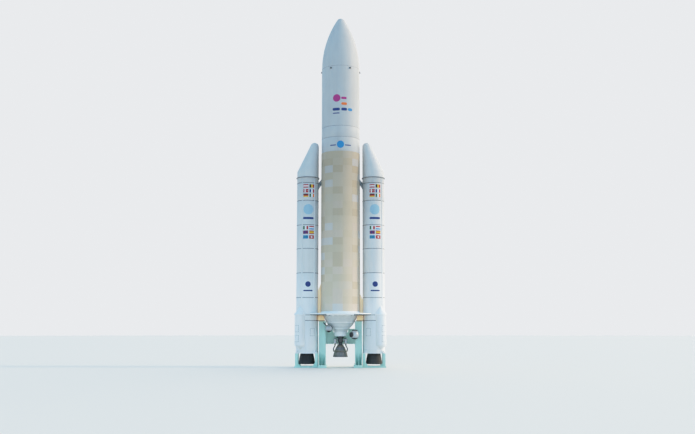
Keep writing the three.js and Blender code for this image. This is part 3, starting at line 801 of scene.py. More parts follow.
def lugs(axis, z, low_z, high_z):
    """Two lugs with a hole for a pin along the axis, X or Y, at a height."""
    pair = bmesh.new()
    for near, far in ((-gimbal_reach, -gimbal_reach + gimbal_lug), (gimbal_reach - gimbal_lug, gimbal_reach)):
        block(pair, (near, -gimbal_half, low_z), (far, gimbal_half, high_z))
    soften(pair, 0.010)
    hole = bmesh.new()
    bar(hole, (-0.5, 0, z), (0.5, 0, z), gimbal_hole, 32)
    if axis == "Y":
        swung(pair, 90)
        swung(hole, 90)
    return carved(pair, hole)


def gimbal_cross(z):
    """Two crossed pins in a hub."""
    cross = bmesh.new()
    block(cross, (-0.08, -0.08, z - 0.06), (0.08, 0.08, z + 0.06))
    soften(cross, 0.014, 3)
    bar(cross, (-gimbal_reach, 0, z), (gimbal_reach, 0, z), gimbal_pin, 32)
    bar(cross, (0, -gimbal_reach, z), (0, gimbal_reach, z), gimbal_pin, 32)
    return cross


case_bell_top = 1.275
case_bell = bell_curve(case_bell_top, 0.31, 0.225, 0.575)
case_bell_wall = 0.025
case_gimbal_z = 1.55

for side, sign in left_right:
    word = "left" if sign < 0 else "right"
    body = f"{word}_nozzle"
    axis_x = sign * booster_x
    inside = [(r - case_bell_wall, z) for r, z in case_bell if z < 1.20]
    outline = case_bell + [(0, case_bell_top), (0, case_bell_top - 0.05)] + inside[::-1] + [case_bell[0]]
    bell = turned(outline)
    soften(bell, 0.005, 2, 0.9)
    for z, proud in ((0.245, 0.022), (0.42, 0.012), (0.62, 0.012), (0.84, 0.012), (1.08, 0.016)):
        add(bell, band(bell_radius(case_bell, z), z, 0.016, proud))
    fit(moved(bell, axis_x), f"nozzle_bell_{side}", nozzle_carbon, [f"booster_nozzle_{side}"], body=body)
    head = lugs("Y", case_gimbal_z, case_bell_top - 0.010, case_gimbal_z + gimbal_half)
    add(head, disc(0.29, case_bell_top - 0.005, case_bell_top + 0.020))
    bolt_ring(head, (0.262, case_bell_top + 0.020), (0.262, case_bell_top + 0.035), 0.012, 24)
    fit(moved(head, axis_x), f"nozzle_head_{side}", dark_steel, body=body)
    cross = moved(gimbal_cross(case_gimbal_z), axis_x)
    fit(cross, f"nozzle_cross_{side}", dark_steel, [f"nozzle_gimbal_{side}"], body=f"{word}_cross")
    hung = lugs("X", case_gimbal_z, case_gimbal_z - gimbal_half, skirt_roof + 0.01)
    add(hung, disc(0.34, skirt_roof - 0.012, skirt_roof + 0.01))
    fit(moved(hung, axis_x), f"nozzle_hanger_{side}", dark_steel)


# Brackets and gap fins.
# Beige painted sheet boxes close the gaps between the core and the boosters: tall fins above the deck, with
# slanted tops, and the brackets below it that rest on the pylons. Rivet rows run along their edges, and dark
# strips of painted shade run round the brackets at top, under the deck, and at bottom, above the pylons.

beige_paint = finish("beige_paint", (1.0, 0.84, 0.57), (0.76, 0.60, 0.38), 0.55, amount=0.14)
bracket_paint = finish("bracket_paint", (1.0, 0.80, 0.47), (0.72, 0.54, 0.30), 0.55, amount=0.18)
for paint in (beige_paint, bracket_paint):
    # A faint warm glow stands in for the light that the core and the boosters throw into the gaps.
    shader = paint.node_tree.nodes["Principled BSDF"]
    shader.inputs["Emission Color"].default_value = (1.0, 0.55, 0.25, 1)
    shader.inputs["Emission Strength"].default_value = 0.15


def shade_strip(node, bottom, top):
    """The slice of a node's solid between two heights, a little proud of it all round."""
    strip = from_node(node)
    for z, way in ((bottom, -1), (top, 1)):
        bmesh.ops.bisect_plane(strip, geom=everything(strip), plane_co=(0, 0, z), plane_no=(0, 0, way),
                               clear_outer=True)
        close_holes(strip)
    centre = sum((v.co.x for v in strip.verts), 0.0) / len(strip.verts)
    for v in strip.verts:
        v.co.y += math.copysign(0.005, v.co.y)
        v.co.x += math.copysign(0.003, v.co.x - centre)
    return strip


for side, sign in left_right:
    low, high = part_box(f"gap_fin_{side}")
    fin = from_node(f"gap_fin_{side}")
    soften(fin, 0.008)
    for y_sign in (-1, 1):
        y = y_sign * high.y
        for x in (low.x + 0.02, high.x - 0.02):
            rivets(fin, (x, y, low.z + 0.05), (x, y, high.z - 0.50), (0, y_sign, 0), 14)
    fit(fin, f"fin_{side}", beige_paint, [f"gap_fin_{side}"])

    low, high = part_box(f"aft_bracket_{side}")
    bracket = from_node(f"aft_bracket_{side}")
    soften(bracket, 0.008)
    for y_sign in (-1, 1):
        y = y_sign * high.y
        near = sign * 1.24
        far = sign * (max(abs(low.x), abs(high.x)) - 0.03)
        for z in (low.z + 0.03, high.z - 0.03):
            rivets(bracket, (near, y, z), (far, y, z), (0, y_sign, 0), 7)
    fit(bracket, f"bracket_{side}", bracket_paint, [f"aft_bracket_{side}"])
    # Painted shade: dark strips along the bracket's top under the deck and along its foot above the pylon.
    strips = shade_strip(f"aft_bracket_{side}", low.z + 0.002, low.z + 0.052)
    add(strips, shade_strip(f"aft_bracket_{side}", high.z - 0.045, high.z - 0.002))
    fit(strips, f"bracket_shade_strips_{side}", seal_and_shade)


# Deck.
# A thin round steel plate under the core, with a bite for each booster and a gusseted ring on top that the
# core stands on. Bolted strips cover its joints, and radial beams and hoops stiffen it from below. It is
# painted white, with painted shade in dark grey underneath beside the boosters.

deck_paint = finish("deck_paint", (0.95, 0.965, 0.97), (0.66, 0.67, 0.65), 0.50, amount=0.16, grain=0.08)
# Painted shade: dark grey for the deck's underside and beams beside the boosters.
underside_painted_shade = finish("underside_painted_shade", (0.34, 0.38, 0.39), (0.24, 0.25, 0.24), 0.60, amount=0.30)
deck_low, deck_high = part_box("base_deck")
deck_radius = deck_high.y
deck_plate_top = 3.68
bright_half = 0.93
core_low, core_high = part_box("core_tank")
core_radius = core_high.x
cover_from = core_radius + 0.11
cover_bolt_pairs = 8

deck = turned([(0, deck_low.z), (deck_radius - 0.03, deck_low.z), (deck_radius, deck_low.z + 0.03),
               (deck_radius, deck_plate_top), (core_radius, deck_plate_top), (core_radius, deck_high.z),
               (0, deck_high.z)], 160)
for sign in (-1, 1):
    bite = disc(booster_radius + 0.015, 3, 4.5, 96)
    deck = carved(deck, moved(bite, sign * booster_x))
soften(deck, 0.006, 2, 0.5)
# The plate is split where the painted shade underneath begins.
for x in (-bright_half, bright_half):
    bmesh.ops.bisect_plane(deck, geom=everything(deck), plane_co=(x, 0, 0), plane_no=(1, 0, 0))
# Underside faces beyond the thrust frame take the painted shade.
for face in deck.faces:
    face.material_index = int(face.normal.z < -0.4 and abs(face.calc_center_median().x) > bright_half)
fit(deck, "deck_plate", [deck_paint, underside_painted_shade], ["base_deck"], smooth=30)

ring_gussets = bmesh.new()
gusset(ring_gussets, (0, -core_radius, deck_plate_top), (0, -0.10, 0), 0.10, 0.016, (1, 0, 0))
repeated(ring_gussets, 48)
beside_boosters = [v for v in ring_gussets.verts if abs(v.co.y) < 0.45]
bmesh.ops.delete(ring_gussets, geom=beside_boosters, context="VERTS")
fit(ring_gussets, "deck_ring_gussets", deck_paint)

beams = bmesh.new()
cover_strips = bmesh.new()
for i in range(24):
    angle = 7.5 + 15 * i
    sideways = abs(math.sin(math.radians(angle)))
    if sideways > 0.85:
        continue
    reach = deck_radius - 0.10 if sideways < 0.60 else 1.20 / sideways
    strip = bmesh.new()
    block(strip, (-0.03, -reach, deck_plate_top - 0.004), (0.03, -cover_from, deck_plate_top + 0.005))
    for j in range(cover_bolt_pairs):
        out = cover_from + 0.03 + (reach - cover_from - 0.06) * j / (cover_bolt_pairs - 1)
        for x in (-0.02, 0.02):
            bar(strip, (x, -out, deck_plate_top), (x, -out, deck_plate_top + 0.011), 0.006, 6)
    add(cover_strips, swung(strip, angle))
    beam = bmesh.new()
    block(beam, (-0.018, -reach, deck_low.z - 0.075), (0.018, -1.19, deck_low.z + 0.002))
    for v in beam.verts:
        if v.co.z < deck_low.z and v.co.y < -1.5:
            v.co.z = deck_low.z - 0.030
    add(beams, swung(beam, angle))
soften(beams, 0.004, 1)
for sweep_from in (-38, 142):
    for inner, outer, deep in ((1.62, 1.645, 0.05), (2.05, 2.07, 0.035)):
        add(beams, hoop(inner, outer, deck_low.z - deep, deck_low.z + 0.002, 40, 76, sweep_from))
# Beams beyond the thrust frame take the painted shade.
for face in beams.faces:
    face.material_index = int(abs(face.calc_center_median().x) > bright_half)
for x in (-bright_half, bright_half):
    for y in (-1.36, 1.36):
        block(beams, (x - 0.022, y - 0.58, deck_low.z - 0.006), (x + 0.022, y + 0.58, deck_low.z + 0.002))
        for i in range(9):
            at = Vector((x, y - 0.54 + 0.135 * i, deck_low.z - 0.006))
            bar(beams, at, at - Vector((0, 0, 0.006)), 0.008, 6)
fit(beams, "deck_beams", [deck_paint, underside_painted_shade])
fit(cover_strips, "deck_cover_strips", deck_paint)


# Thrust frame.
# A pale grey conical frame of sheet metal under the deck takes the engine's push. Stringers run down it,
# raised white hoops tie them, and the lugs of the engine's gimbal hang from its foot.

grey_paint = finish("grey_paint", (0.745, 0.77, 0.765), (0.55, 0.57, 0.56), 0.42, amount=0.2)
frame_line = [(0.47, 2.42), (0.47, 2.50), (0.625, 2.67), (0.86, 2.925), (0.985, 3.14), (1.145, 3.40),
              (1.17, 3.58)]
engine_gimbal_z = 2.21


def stringers(shape, start, way, long, half_wide, count):
    """Adds ribs evenly round Z that lean the way given. start and way are [radius, height]."""
    rib = bmesh.new()
    verts = block(rib, (-half_wide, -0.012, 0), (half_wide, 0.012, long))
    tilt = Matrix.Rotation(math.atan2(*way), 4, "X")
    place = Matrix.Translation((0, -start[0], start[1]))
    bmesh.ops.transform(rib, matrix=place @ tilt, verts=verts)
    add(shape, repeated(rib, count))


cone = turned([(0, 2.42)] + frame_line + [(0, 3.58)], 128)
soften(cone, 0.010, 3, 1.0)
for start, end in zip(frame_line[1:], frame_line[2:]):
    way = Vector(end) - Vector(start)
    stringers(cone, start, way, way.length, 0.008, 36)
for z, half, proud in ((2.455, 0.016, 0.018), (3.30, 0.010, 0.014), (3.545, 0.035, 0.022)):
    add(cone, band(bell_radius(frame_line, z), z, half, proud))
fit(cone, "thrust_cone", grey_paint, ["thrust_frame"], smooth=25)
hoops = bmesh.new()
for z, half, proud in ((2.655, 0.030, 0.032), (2.872, 0.012, 0.020), (3.065, 0.030, 0.032)):
    raised = band(bell_radius(frame_line, z), z, half, proud)
    soften(raised, 0.006)
    add(hoops, raised)
fit(hoops, "thrust_hoops", deck_paint)
hanger = lugs("X", engine_gimbal_z, engine_gimbal_z - gimbal_half, 2.43)
add(hanger, disc(0.33, 2.405, 2.43))
fit(hanger, "engine_hanger", dark_steel)


# Gimbal drum.
# A short drum of white painted sheet hangs from the frame's foot round the engine's gimbal, open below. It
# has a bolted band at the top and a rolled lip.

low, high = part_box("gimbal_shroud")
drum_radius = high.y
bolted_z = high.z - 0.028
drum = hoop(drum_radius - 0.02, drum_radius, low.z, high.z)
soften(drum, 0.004)
add(drum, band(drum_radius, bolted_z, 0.026, 0.006))
lip = band(drum_radius, low.z + 0.012, 0.010, 0.008)
soften(lip, 0.004)
add(drum, lip)
bolt_ring(drum, (drum_radius, bolted_z), (drum_radius + 0.014, bolted_z), 0.009, 36)
fit(drum, "gimbal_drum", deck_paint, ["gimbal_shroud"])


# Helium sphere and pressure flask.
# Metal vessels beside the engine. The sphere sits in a dark saddle with a strap over its shoulder, and hangs
# on a strut from the pylon; the saddle's wide dark band round the sphere's lower half is painted shade. The
# flask sits on an arm, with a dark bolted lid and a dark port at its side, and a dark band round its bottom
# that is painted shade.

silver = finish("silver", (0.62, 0.64, 0.66), (0.40, 0.40, 0.40), 0.34, amount=0.25, metallic=0.9)
pale_metal = finish("pale_metal", (0.62, 0.66, 0.68), (0.44, 0.45, 0.45), 0.38, amount=0.25, metallic=0.35)
dull_metal = finish("dull_metal", (0.50, 0.54, 0.57), (0.34, 0.35, 0.35), 0.36, amount=0.25, metallic=0.6)
helium_at = Vector((-0.78, -0.71, 2.66))
helium_radius = 0.26
flask_at = Vector((0.98, -0.775, 2.225))
flask_radius = 0.31


def sphere(centre, radius):
    """A round vessel."""
    shape = bmesh.new()
    where = Matrix.Translation(centre)
    bmesh.ops.create_uvsphere(shape, u_segments=48, v_segments=24, radius=radius, matrix=where)
    return shape


def cup(radius, from_degrees, to_degrees):
    """A thin band round the bottom of a sphere at the origin, between two angles from straight down."""
    steps = 10
    angles = [math.radians(from_degrees + (to_degrees - from_degrees) * i / steps) for i in range(steps + 1)]
    outer, inner = radius + 0.006, radius - 0.01
    outside = [(outer * math.sin(a), -outer * math.cos(a)) for a in angles]
    inside = [(inner * math.sin(a), -inner * math.cos(a)) for a in angles]
    return turned(outside + inside[::-1] + outside[:1], 64)


tank = sphere(helium_at, helium_radius)
fit(tank, "helium_tank", dull_metal, ["helium_sphere"], smooth=50)
# Painted shade: the dark band round the sphere's lower half.
saddle_and_shade = cup(helium_radius, 8, 50)
strap = cup(helium_radius, 50, 64)
strap_way = Vector((0.61, 0.42, 0.67)).normalized()
turn = Vector((0, 0, -1)).rotation_difference(strap_way).to_matrix()
bmesh.ops.rotate(strap, cent=(0, 0, 0), matrix=turn, verts=strap.verts)
add(saddle_and_shade, strap)
bar(saddle_and_shade, (0, 0, -helium_radius - 0.02), (0, 0, -helium_radius + 0.02), 0.035, 24)
bar(saddle_and_shade, (0, 0, 0), Vector((-1.16, -0.385, 3.04)) - helium_at, 0.034, 20)
fit(moved(saddle_and_shade, *helium_at), "helium_saddle_and_shade", nozzle_carbon)

flask = sphere(flask_at, flask_radius)
bar(flask, flask_at, flask_at + Vector((0, 0, 0.29)), 0.18, 48)
port_turn = Matrix.Rotation(math.radians(-50), 3, "Z") @ Matrix.Rotation(math.radians(90), 3, "X")
port_and_shade = turned([(0, 0.24), (0.175, 0.24), (0.175, 0.335), (0.150, 0.345), (0.150, 0.325), (0, 0.325)], 48)
soften(port_and_shade, 0.004)
bmesh.ops.rotate(port_and_shade, cent=(0, 0, 0), matrix=port_turn, verts=port_and_shade.verts)
# Painted shade: a dark band round the flask's bottom.
add(port_and_shade, cup(flask_radius, 6, 46))
fit(moved(port_and_shade, *flask_at), "flask_port_and_shade", nozzle_carbon)
block(flask, (1.075, -0.775, 2.175), (1.175, -0.402, 2.275))
fit(flask, "flask", pale_metal, ["pressure_flask"], smooth=50)
lid = turned([(0, 0.26), (0.19, 0.26), (0.19, 0.322), (0.12, 0.325), (0, 0.325)], 48)
soften(lid, 0.004)
bolt_ring(lid, (0.165, 0.318), (0.165, 0.325), 0.010, 16)
fit(moved(lid, *flask_at), "flask_lid", nozzle_carbon)


# Main engine: gimbal, chamber and head.
# The engine swings on two crossed pins. Under the thrust block a bolted injector plate closes the combustion
# chamber, which narrows to the throat and ends in the flange that carries the bell.

chamber_radius = 0.18
throat_radius = 0.11
chamber = turned([(0, 1.50), (0.22, 1.50), (0.22, 1.54), (0.165, 1.54), (0.135, 1.58), (throat_radius, 1.64),
                  (0.135, 1.69), (0.172, 1.74), (chamber_radius, 1.78), (chamber_radius, 1.965),
                  (0.26, 2.015), (0.26, 2.065), (0, 2.065)], 72)
soften(chamber, 0.005, 2, 0.6)
for z, half, proud in ((1.80, 0.010, 0.010), (1.87, 0.008, 0.006), (1.94, 0.010, 0.008)):
    add(chamber, band(chamber_radius, z, half, proud, 72))
add(chamber, band(throat_radius, 1.64, 0.018, 0.012, 72))
for z, ring_radius in ((2.065, 0.232), (1.54, 0.20)):
    bolt_ring(chamber, (ring_radius, z), (ring_radius, z + 0.014), 0.010, 24)
fit(chamber, "combustion_chamber", dark_steel, ["main_engine"], body="engine")
block_head = lugs("Y", engine_gimbal_z, 2.055, engine_gimbal_z + gimbal_half)
add(block_head, turned([(0, 2.06), (0.21, 2.06), (0.19, 2.09), (0, 2.09)], 48))
fit(block_head, "thrust_block", dark_steel, body="engine")
fit(gimbal_cross(engine_gimbal_z), "engine_cross", dark_steel, ["main_gimbal"], body="engine_cross")


# Main engine: bell.
# A wall of thin welded tubes, heat-tinted from straw to blue-grey, with hoops round it, a rolled lip and the
# ring manifold that takes the turbines' exhaust.


def tube_wall():
    """Heat-tinted metal with a fine upright ridge for each cooling tube."""
    material, tree = new_material("nozzle_metal")
    place = put(tree, "TexCoord").outputs["Object"]
    parts = put(tree, "SeparateXYZ", {"Vector": place}).outputs
    angle = reckon(tree, "ARCTAN2", parts["X"], parts["Y"])
    ridge = reckon(tree, "SINE", reckon(tree, "MULTIPLY", angle, 180.0))
    heat = put(tree, "MapRange", {"Value": parts["Z"], "From Min": 0.70, "From Max": 1.55})
    tints = put(tree, "ValToRGB", {"Fac": heat.outputs[0]})
    set_stops(tints.color_ramp, (
        (0.0, (0.20, 0.19, 0.19)), (0.25, (0.30, 0.27, 0.25)), (0.50, (0.34, 0.30, 0.25)),
        (0.72, (0.26, 0.25, 0.29)), (0.88, (0.33, 0.27, 0.20)), (1.0, (0.24, 0.22, 0.21))))
    wear = put(tree, "Group", {"Paint": tints.outputs["Color"], "Dirt": (0.12, 0.11, 0.10, 1), "Amount": 0.45,
                               "Streaks": 9.0, "Roughness": 0.40, "Grain": 0.2}, node_tree=weather_and_shade)
    height = reckon(tree, "MULTIPLY_ADD", ridge, 0.5, wear.outputs["Height"])
    shader = shaded(tree, wear, height, 0.6, 0.003)
    shader["Metallic"].default_value = 0.9
    return material


def rolled(radius, z, half_wide, half_tall, points, steps):
    """A tube bent into a ring round Z."""
    turns = [math.tau * i / points for i in range(points)]
    outline = [(radius + half_wide * math.cos(a), z + half_tall * math.sin(a)) for a in turns]
    return turned(outline + outline[:1], steps)


nozzle_metal = tube_wall()
bell_exit = 0.5225
bell_wall = 0.0175
main_bell = bell_curve(1.4999, 0.20, 0.70, bell_exit)
manifold_z = 1.10
manifold_tube = 0.05

outline = main_bell + [(r - bell_wall, z) for r, z in main_bell][::-1] + [main_bell[0]]
bell = turned(outline, 120)
for z in (0.80, 0.92, 1.22, 1.34, 1.43):
    add(bell, band(bell_radius(main_bell, z), z, 0.008, 0.008, steps=120))
add(bell, rolled(bell_exit - bell_wall / 2, 0.714, 0.014, 0.014, 12, 120))
manifold_centre = bell_radius(main_bell, manifold_z) + manifold_tube + 0.004
add(bell, rolled(manifold_centre, manifold_z, manifold_tube, 0.8 * manifold_tube, 20, 96))
fit(bell, "engine_bell", nozzle_metal, ["main_nozzle"], body="engine", smooth=45)


# Main engine: turbopumps and exhaust pipes.
# A pump for each propellant stands beside the chamber and feeds it through a short flanged pipe. Its
# turbine's exhaust runs down a bent pipe into the bell's ring manifold.

pump_x = 0.37
pump_foot = 1.56
turbine_radius = 0.125
inlet_radius = 0.118
pipe_z = 1.86
exhaust_radius = 0.0425
exhaust_out = bell_radius(main_bell, manifold_z) + 0.11 - exhaust_radius - 0.005

for side, sign, name in (("l", -1, "oxygen_pump"), ("r", 1, "hydrogen_pump")):
    pump = turned([(0, pump_foot), (0.075, pump_foot), (0.085, 1.60), (turbine_radius, 1.63),
                   (turbine_radius, 1.72), (0.10, 1.74), (0.10, 1.80), (inlet_radius, 1.82),
                   (inlet_radius, 1.90), (0.07, 1.975), (0, 1.975)], 48)
    soften(pump, 0.006, 2, 0.5)
    for z, out in ((1.675, turbine_radius - 0.004), (pipe_z, inlet_radius - 0.004)):
        bolt_ring(pump, (out, z - 0.02), (out, z + 0.02), 0.008, 16, 8)
    moved(pump, sign * pump_x)
    bar(pump, (sign * pump_x, 0, pipe_z), (sign * 0.185, 0, pipe_z), 0.045, 32)
    for x in (0.197, 0.245):
        bar(pump, (sign * x, 0, pipe_z), (sign * (x + 0.014), 0, pipe_z), 0.06, 32)
    fit(pump, f"{name}_body", silver, [name], body="engine", smooth=40)

    path = bpy.data.curves.new(f"exhaust_path_{side}", "CURVE")
    path.dimensions = "3D"
    path.bevel_depth = exhaust_radius
    path.bevel_resolution = 5
    path.resolution_u = 10
    path.use_fill_caps = True
    line = path.splines.new("BEZIER")
    bends = [(pump_x, pump_foot), (pump_x + 0.01, 1.47), (exhaust_out, 1.27), (exhaust_out, 1.135)]
    line.bezier_points.add(len(bends) - 1)
    for point, (x, z) in zip(line.bezier_points, bends):
        point.co = (sign * x, 0, z)
        point.handle_left_type = "AUTO"
        point.handle_right_type = "AUTO"
    path_object = placed(f"exhaust_path_{side}", path)
    bpy.context.view_layer.update()
    depsgraph = bpy.context.evaluated_depsgraph_get()
    bent = bpy.data.meshes.new_from_object(path_object.evaluated_get(depsgraph))
    pipe = bmesh.new()
    pipe.from_mesh(bent)
    bmesh.ops.remove_doubles(pipe, verts=pipe.verts, dist=1e-5)
    bpy.data.curves.remove(path)
    bpy.data.meshes.remove(bent)
    bar(pipe, (sign * pump_x, 0, pump_foot - 0.025), (sign * pump_x, 0, pump_foot), 0.058, 32)
    fit(pipe, f"exhaust_{side}", nozzle_metal, [f"exhaust_pipe_{side}"], body="engine", smooth=40)


# Core tank.
# The long metal tank wears bonded foam panels, twelve round it and twenty-two up it. They are of different
# batches, so their beige differs a little, and an open groove runs between them.

panel_rows = 22
panel_columns = 12
panel_height = (core_high.z - core_low.z) / panel_rows
panel_turn = 7.0
groove_half = 0.007
groove_deep = 0.005


def foam_finish():
    """Matte beige foam. A panel's tint comes from its column and row, and painted shade darkens it higher up.
    """
    material, tree = new_material("foam")
    place = put(tree, "TexCoord").outputs["Object"]
    parts = put(tree, "SeparateXYZ", {"Vector": place}).outputs
    angle = reckon(tree, "ARCTAN2", parts["X"], reckon(tree, "MULTIPLY", parts["Y"], -1.0))
    turn = reckon(tree, "SUBTRACT", angle, math.radians(panel_turn))
    column = reckon(tree, "FLOOR", reckon(tree, "MULTIPLY", turn, panel_columns / math.tau))
    column = reckon(tree, "FLOORED_MODULO", column, float(panel_columns))
    rise = reckon(tree, "SUBTRACT", parts["Z"], core_low.z)
    row = reckon(tree, "FLOOR", reckon(tree, "MULTIPLY", rise, 1 / panel_height))
    cell = put(tree, "CombineXYZ", {"X": column, "Y": row, "Z": 1.0})
    chance = put(tree, "TexWhiteNoise", {"Vector": cell.outputs[0]}, noise_dimensions="3D")
    tints = put(tree, "ValToRGB", {"Fac": chance.outputs["Value"]})
    tints.color_ramp.interpolation = "CONSTANT"
    set_stops(tints.color_ramp, (
        (0.0, (0.72, 0.59, 0.435)), (0.10, (0.755, 0.635, 0.48)), (0.24, (0.78, 0.655, 0.505)),
        (0.44, (0.79, 0.665, 0.52)), (0.66, (0.80, 0.665, 0.54)), (0.80, (0.77, 0.665, 0.535)),
        (0.91, (0.78, 0.728, 0.685))))
    wear = put(tree, "Group", {"Paint": tints.outputs["Color"], "Dirt": (0.58, 0.51, 0.38, 1), "Amount": 0.16,
                               "Streaks": 2.2, "Roughness": 0.85, "Grain": 1.0, "Fade": 0.36},
               node_tree=weather_and_shade)
    shader = shaded(tree, wear, wear.outputs["Height"], 0.6, 0.006)
    shader["Specular IOR Level"].default_value = 0.25
    shader["Sheen Weight"].default_value = 0.30
    shader["Sheen Roughness"].default_value = 0.5
    shader["Sheen Tint"].default_value = (1.0, 0.90, 0.76, 1)
    return material


foam = foam_finish()
faces_per_panel = 12
row_edges = [(core_radius, core_low.z + panel_height * row) for row in range(panel_rows + 1)]
tank = turned(row_edges, panel_columns * faces_per_panel, 360.0, panel_turn)
panels = {}
for face in tank.faces:
    middle = face.calc_center_median()
    turn = math.degrees(math.atan2(middle.x, -middle.y)) - panel_turn
    column = int(turn // (360 / panel_columns)) % panel_columns
    row = int((middle.z - core_low.z) // panel_height)
    panels.setdefault((column, row), []).append(face)
for faces in panels.values():
    bmesh.ops.inset_region(tank, faces=faces, thickness=groove_half, depth=0.0, use_boundary=True,
                           use_even_offset=True)
# The corners on the lines between the panels go in, and the panels' own stay out.
for v in tank.verts:
    row = (v.co.z - core_low.z) / panel_height
    column = (math.degrees(math.atan2(v.co.x, -v.co.y)) - panel_turn) * panel_columns / 360
    from_row = abs(row - round(row)) * panel_height
    from_column = abs(column - round(column)) * math.tau * core_radius / panel_columns
    if min(from_row, from_column) < groove_half / 3:
        v.co.xy *= 1 - groove_deep / core_radius
close_holes(tank)
fit(tank, "core_foam", foam, ["core_tank"], smooth=25)


# Supply line.
# A feed pipe runs up the back of the core from the deck. It is white painted tube on a web, clamped every
# metre, and goes into the tank under a box-shaped hood.

low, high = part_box("supply_line")
line_y = core_radius + 0.08
line_top = 11.78
line = bmesh.new()
bar(line, (0, line_y, low.z), (0, line_y, line_top), 0.065, 40)
block(line, (-0.025, core_radius - 0.01, low.z), (0.025, line_y, line_top))
hood = bmesh.new()
block(hood, (-0.10, core_radius - 0.01, line_top - 0.03), (0.10, high.y, high.z))
for v in hood.verts:
    if v.co.z > 12 and v.co.y > core_radius:
        v.co.y = core_radius + 0.05
soften(hood, 0.015, 3)
add(line, hood)
for i in range(8):
    z = low.z + 0.35 + i
    add(line, moved(hoop(0.06, 0.073, z - 0.02, z + 0.02, 40), 0, line_y))
    block(line, (-0.09, core_radius - 0.01, z - 0.02), (0.09, core_radius + 0.016, z + 0.02))
fit(line, "supply_pipe", white_paint, ["supply_line"])


# Forward struts.
# Steel fittings carry each booster's push into the core at the top: a dark web between two flanges, with a
# brace across it and rivets at both ends.

strut_grey = finish("strut_grey", (0.58, 0.63, 0.66), (0.36, 0.39, 0.40), 0.50, amount=0.25)

for side, sign in left_right:
    low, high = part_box(f"forward_strut_{side}")
    strut = from_node(f"forward_strut_{side}")
    webs = [f for f in strut.faces if abs(f.normal.y) > 0.9]
    bmesh.ops.inset_individual(strut, faces=webs, thickness=0.030, depth=-0.035)
    for web in webs:
        web.material_index = 1
    soften(strut, 0.005)
    for y_sign in (-1, 1):
        y = y_sign * (high.y - 0.022)
        bar(strut, (sign * 1.372, y, high.z - 0.06), (sign * 1.545, y, low.z + 0.10), 0.016, 12)
    for y_sign in (-1, 1):
        y = y_sign * high.y
        for x in (low.x + 0.015, high.x - 0.015):
            middle = (low.z + high.z) / 2 + (0.08 if abs(x) < 1.45 else -0.08)
            rivets(strut, (x, y, middle - 0.13), (x, y, middle + 0.13), (0, y_sign, 0), 5, 0.009)
    fit(strut, f"strut_{side}", [strut_grey, dark_steel], [f"forward_strut_{side}"])


# Upper skirt and equipment bay.
# Carbon sandwich shells painted white, closed and joined at thin open seams. The bay has a ring of small
# access doors, and there are two larger ones at the back of the skirt.

upper_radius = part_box("upper_skirt")[1].x
bay_low, bay_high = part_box("equipment_bay")

for node in ("upper_skirt", "equipment_bay"):
    low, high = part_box(node)
    tube = disc(upper_radius, low.z, high.z, 160)
    soften(tube, 0.004)
    fit(tube, f"{node}_shell", white_paint, [node])

seams = bmesh.new()
for z in (bay_low.z, bay_high.z - 0.004):
    add(seams, band(upper_radius, z, 0.0085, 0.001, steps=160))
fit(seams, "bay_seams", seal_and_shade)

doors = bmesh.new()
for angle in range(20, 380, 40):
    door = hoop(upper_radius - 0.004, upper_radius + 0.003, 16.22, 16.50, 6, 9.0, angle - 4.5)
    soften(door, 0.002, 1, 1.0)
    add(doors, door)
for middle in (150, 205):
    add(doors, hatch(upper_radius, 15.05, 15.62, 18, middle))
fit(doors, "bay_doors", [white_paint, seal_and_shade])


# Payload adapter.
# A grey sandwich cone on the equipment bay, seen once the fairing parts. It has a bolted foot ring, stringers
# and the flat ring that the payload is clamped to.

low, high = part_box("payload_adapter")
flange_top = low.z + 0.06
adapter = turned([(0, low.z), (1.075, low.z), (1.075, flange_top), (0.46, low.z + 0.575),
                  (0.50, low.z + 0.60), (0.50, high.z), (0, high.z)])
soften(adapter, 0.006, 2, 0.5)
stringers(adapter, (1.055, flange_top + 0.01), (-0.60, 0.50), 0.79, 0.010, 24)
bolt_ring(adapter, (1.045, flange_top), (1.045, flange_top + 0.015), 0.012, 48)
fit(adapter, "adapter_cone", grey_paint, ["payload_adapter"], smooth=30)


# Payload fairing.
# Two half shells of white painted carbon sandwich, split from tip to foot, which slide apart. The skin is
# smooth, with a seam where the nose starts and six small dark lugs just under it. Sound-damping foam mats
# line the inside.

fairing_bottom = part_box("fairing_half_r")[0].z
ogive_bottom = 21.09
ogive_arc = 7.085
tip_round = 0.317
fairing_wall = 0.04
fairing_bodies = {"l": "fairing_left", "r": "fairing_right"}
seam_sweep = 179.9
lug_low = 20.90
mat_rows = 9
mat_bottom = 17.0
mat_step = (ogive_bottom - mat_bottom) / mat_rows
mat_foam = finish("mat_foam", (0.42, 0.43, 0.42), (0.30, 0.30, 0.29), 0.9, amount=0.3, grain=1.0)


def fairing_line(inset):
    """One half shell's outline inside an inset: its foot, then from the shoulder to the tip."""
    back = ogive_arc - upper_radius
    tip_up = math.sqrt((ogive_arc - tip_round) ** 2 - back ** 2)
    tip_z = ogive_bottom + tip_up
    meet = math.asin(tip_up / (ogive_arc - tip_round))
    arc = ogive_arc - inset
    tip = tip_round - inset
    side_steps, tip_steps = 28, 8
    points = [(upper_radius - inset, fairing_bottom)]
    for i in range(side_steps):
        a = meet * i / side_steps
        points.append((arc * math.cos(a) - back, ogive_bottom + arc * math.sin(a)))
    for i in range(tip_steps):
        a = meet + (math.pi / 2 - meet) * i / tip_steps
        points.append((tip * math.cos(a), tip_z + tip * math.sin(a)))
    return points + [(0.0, tip_z + tip)]


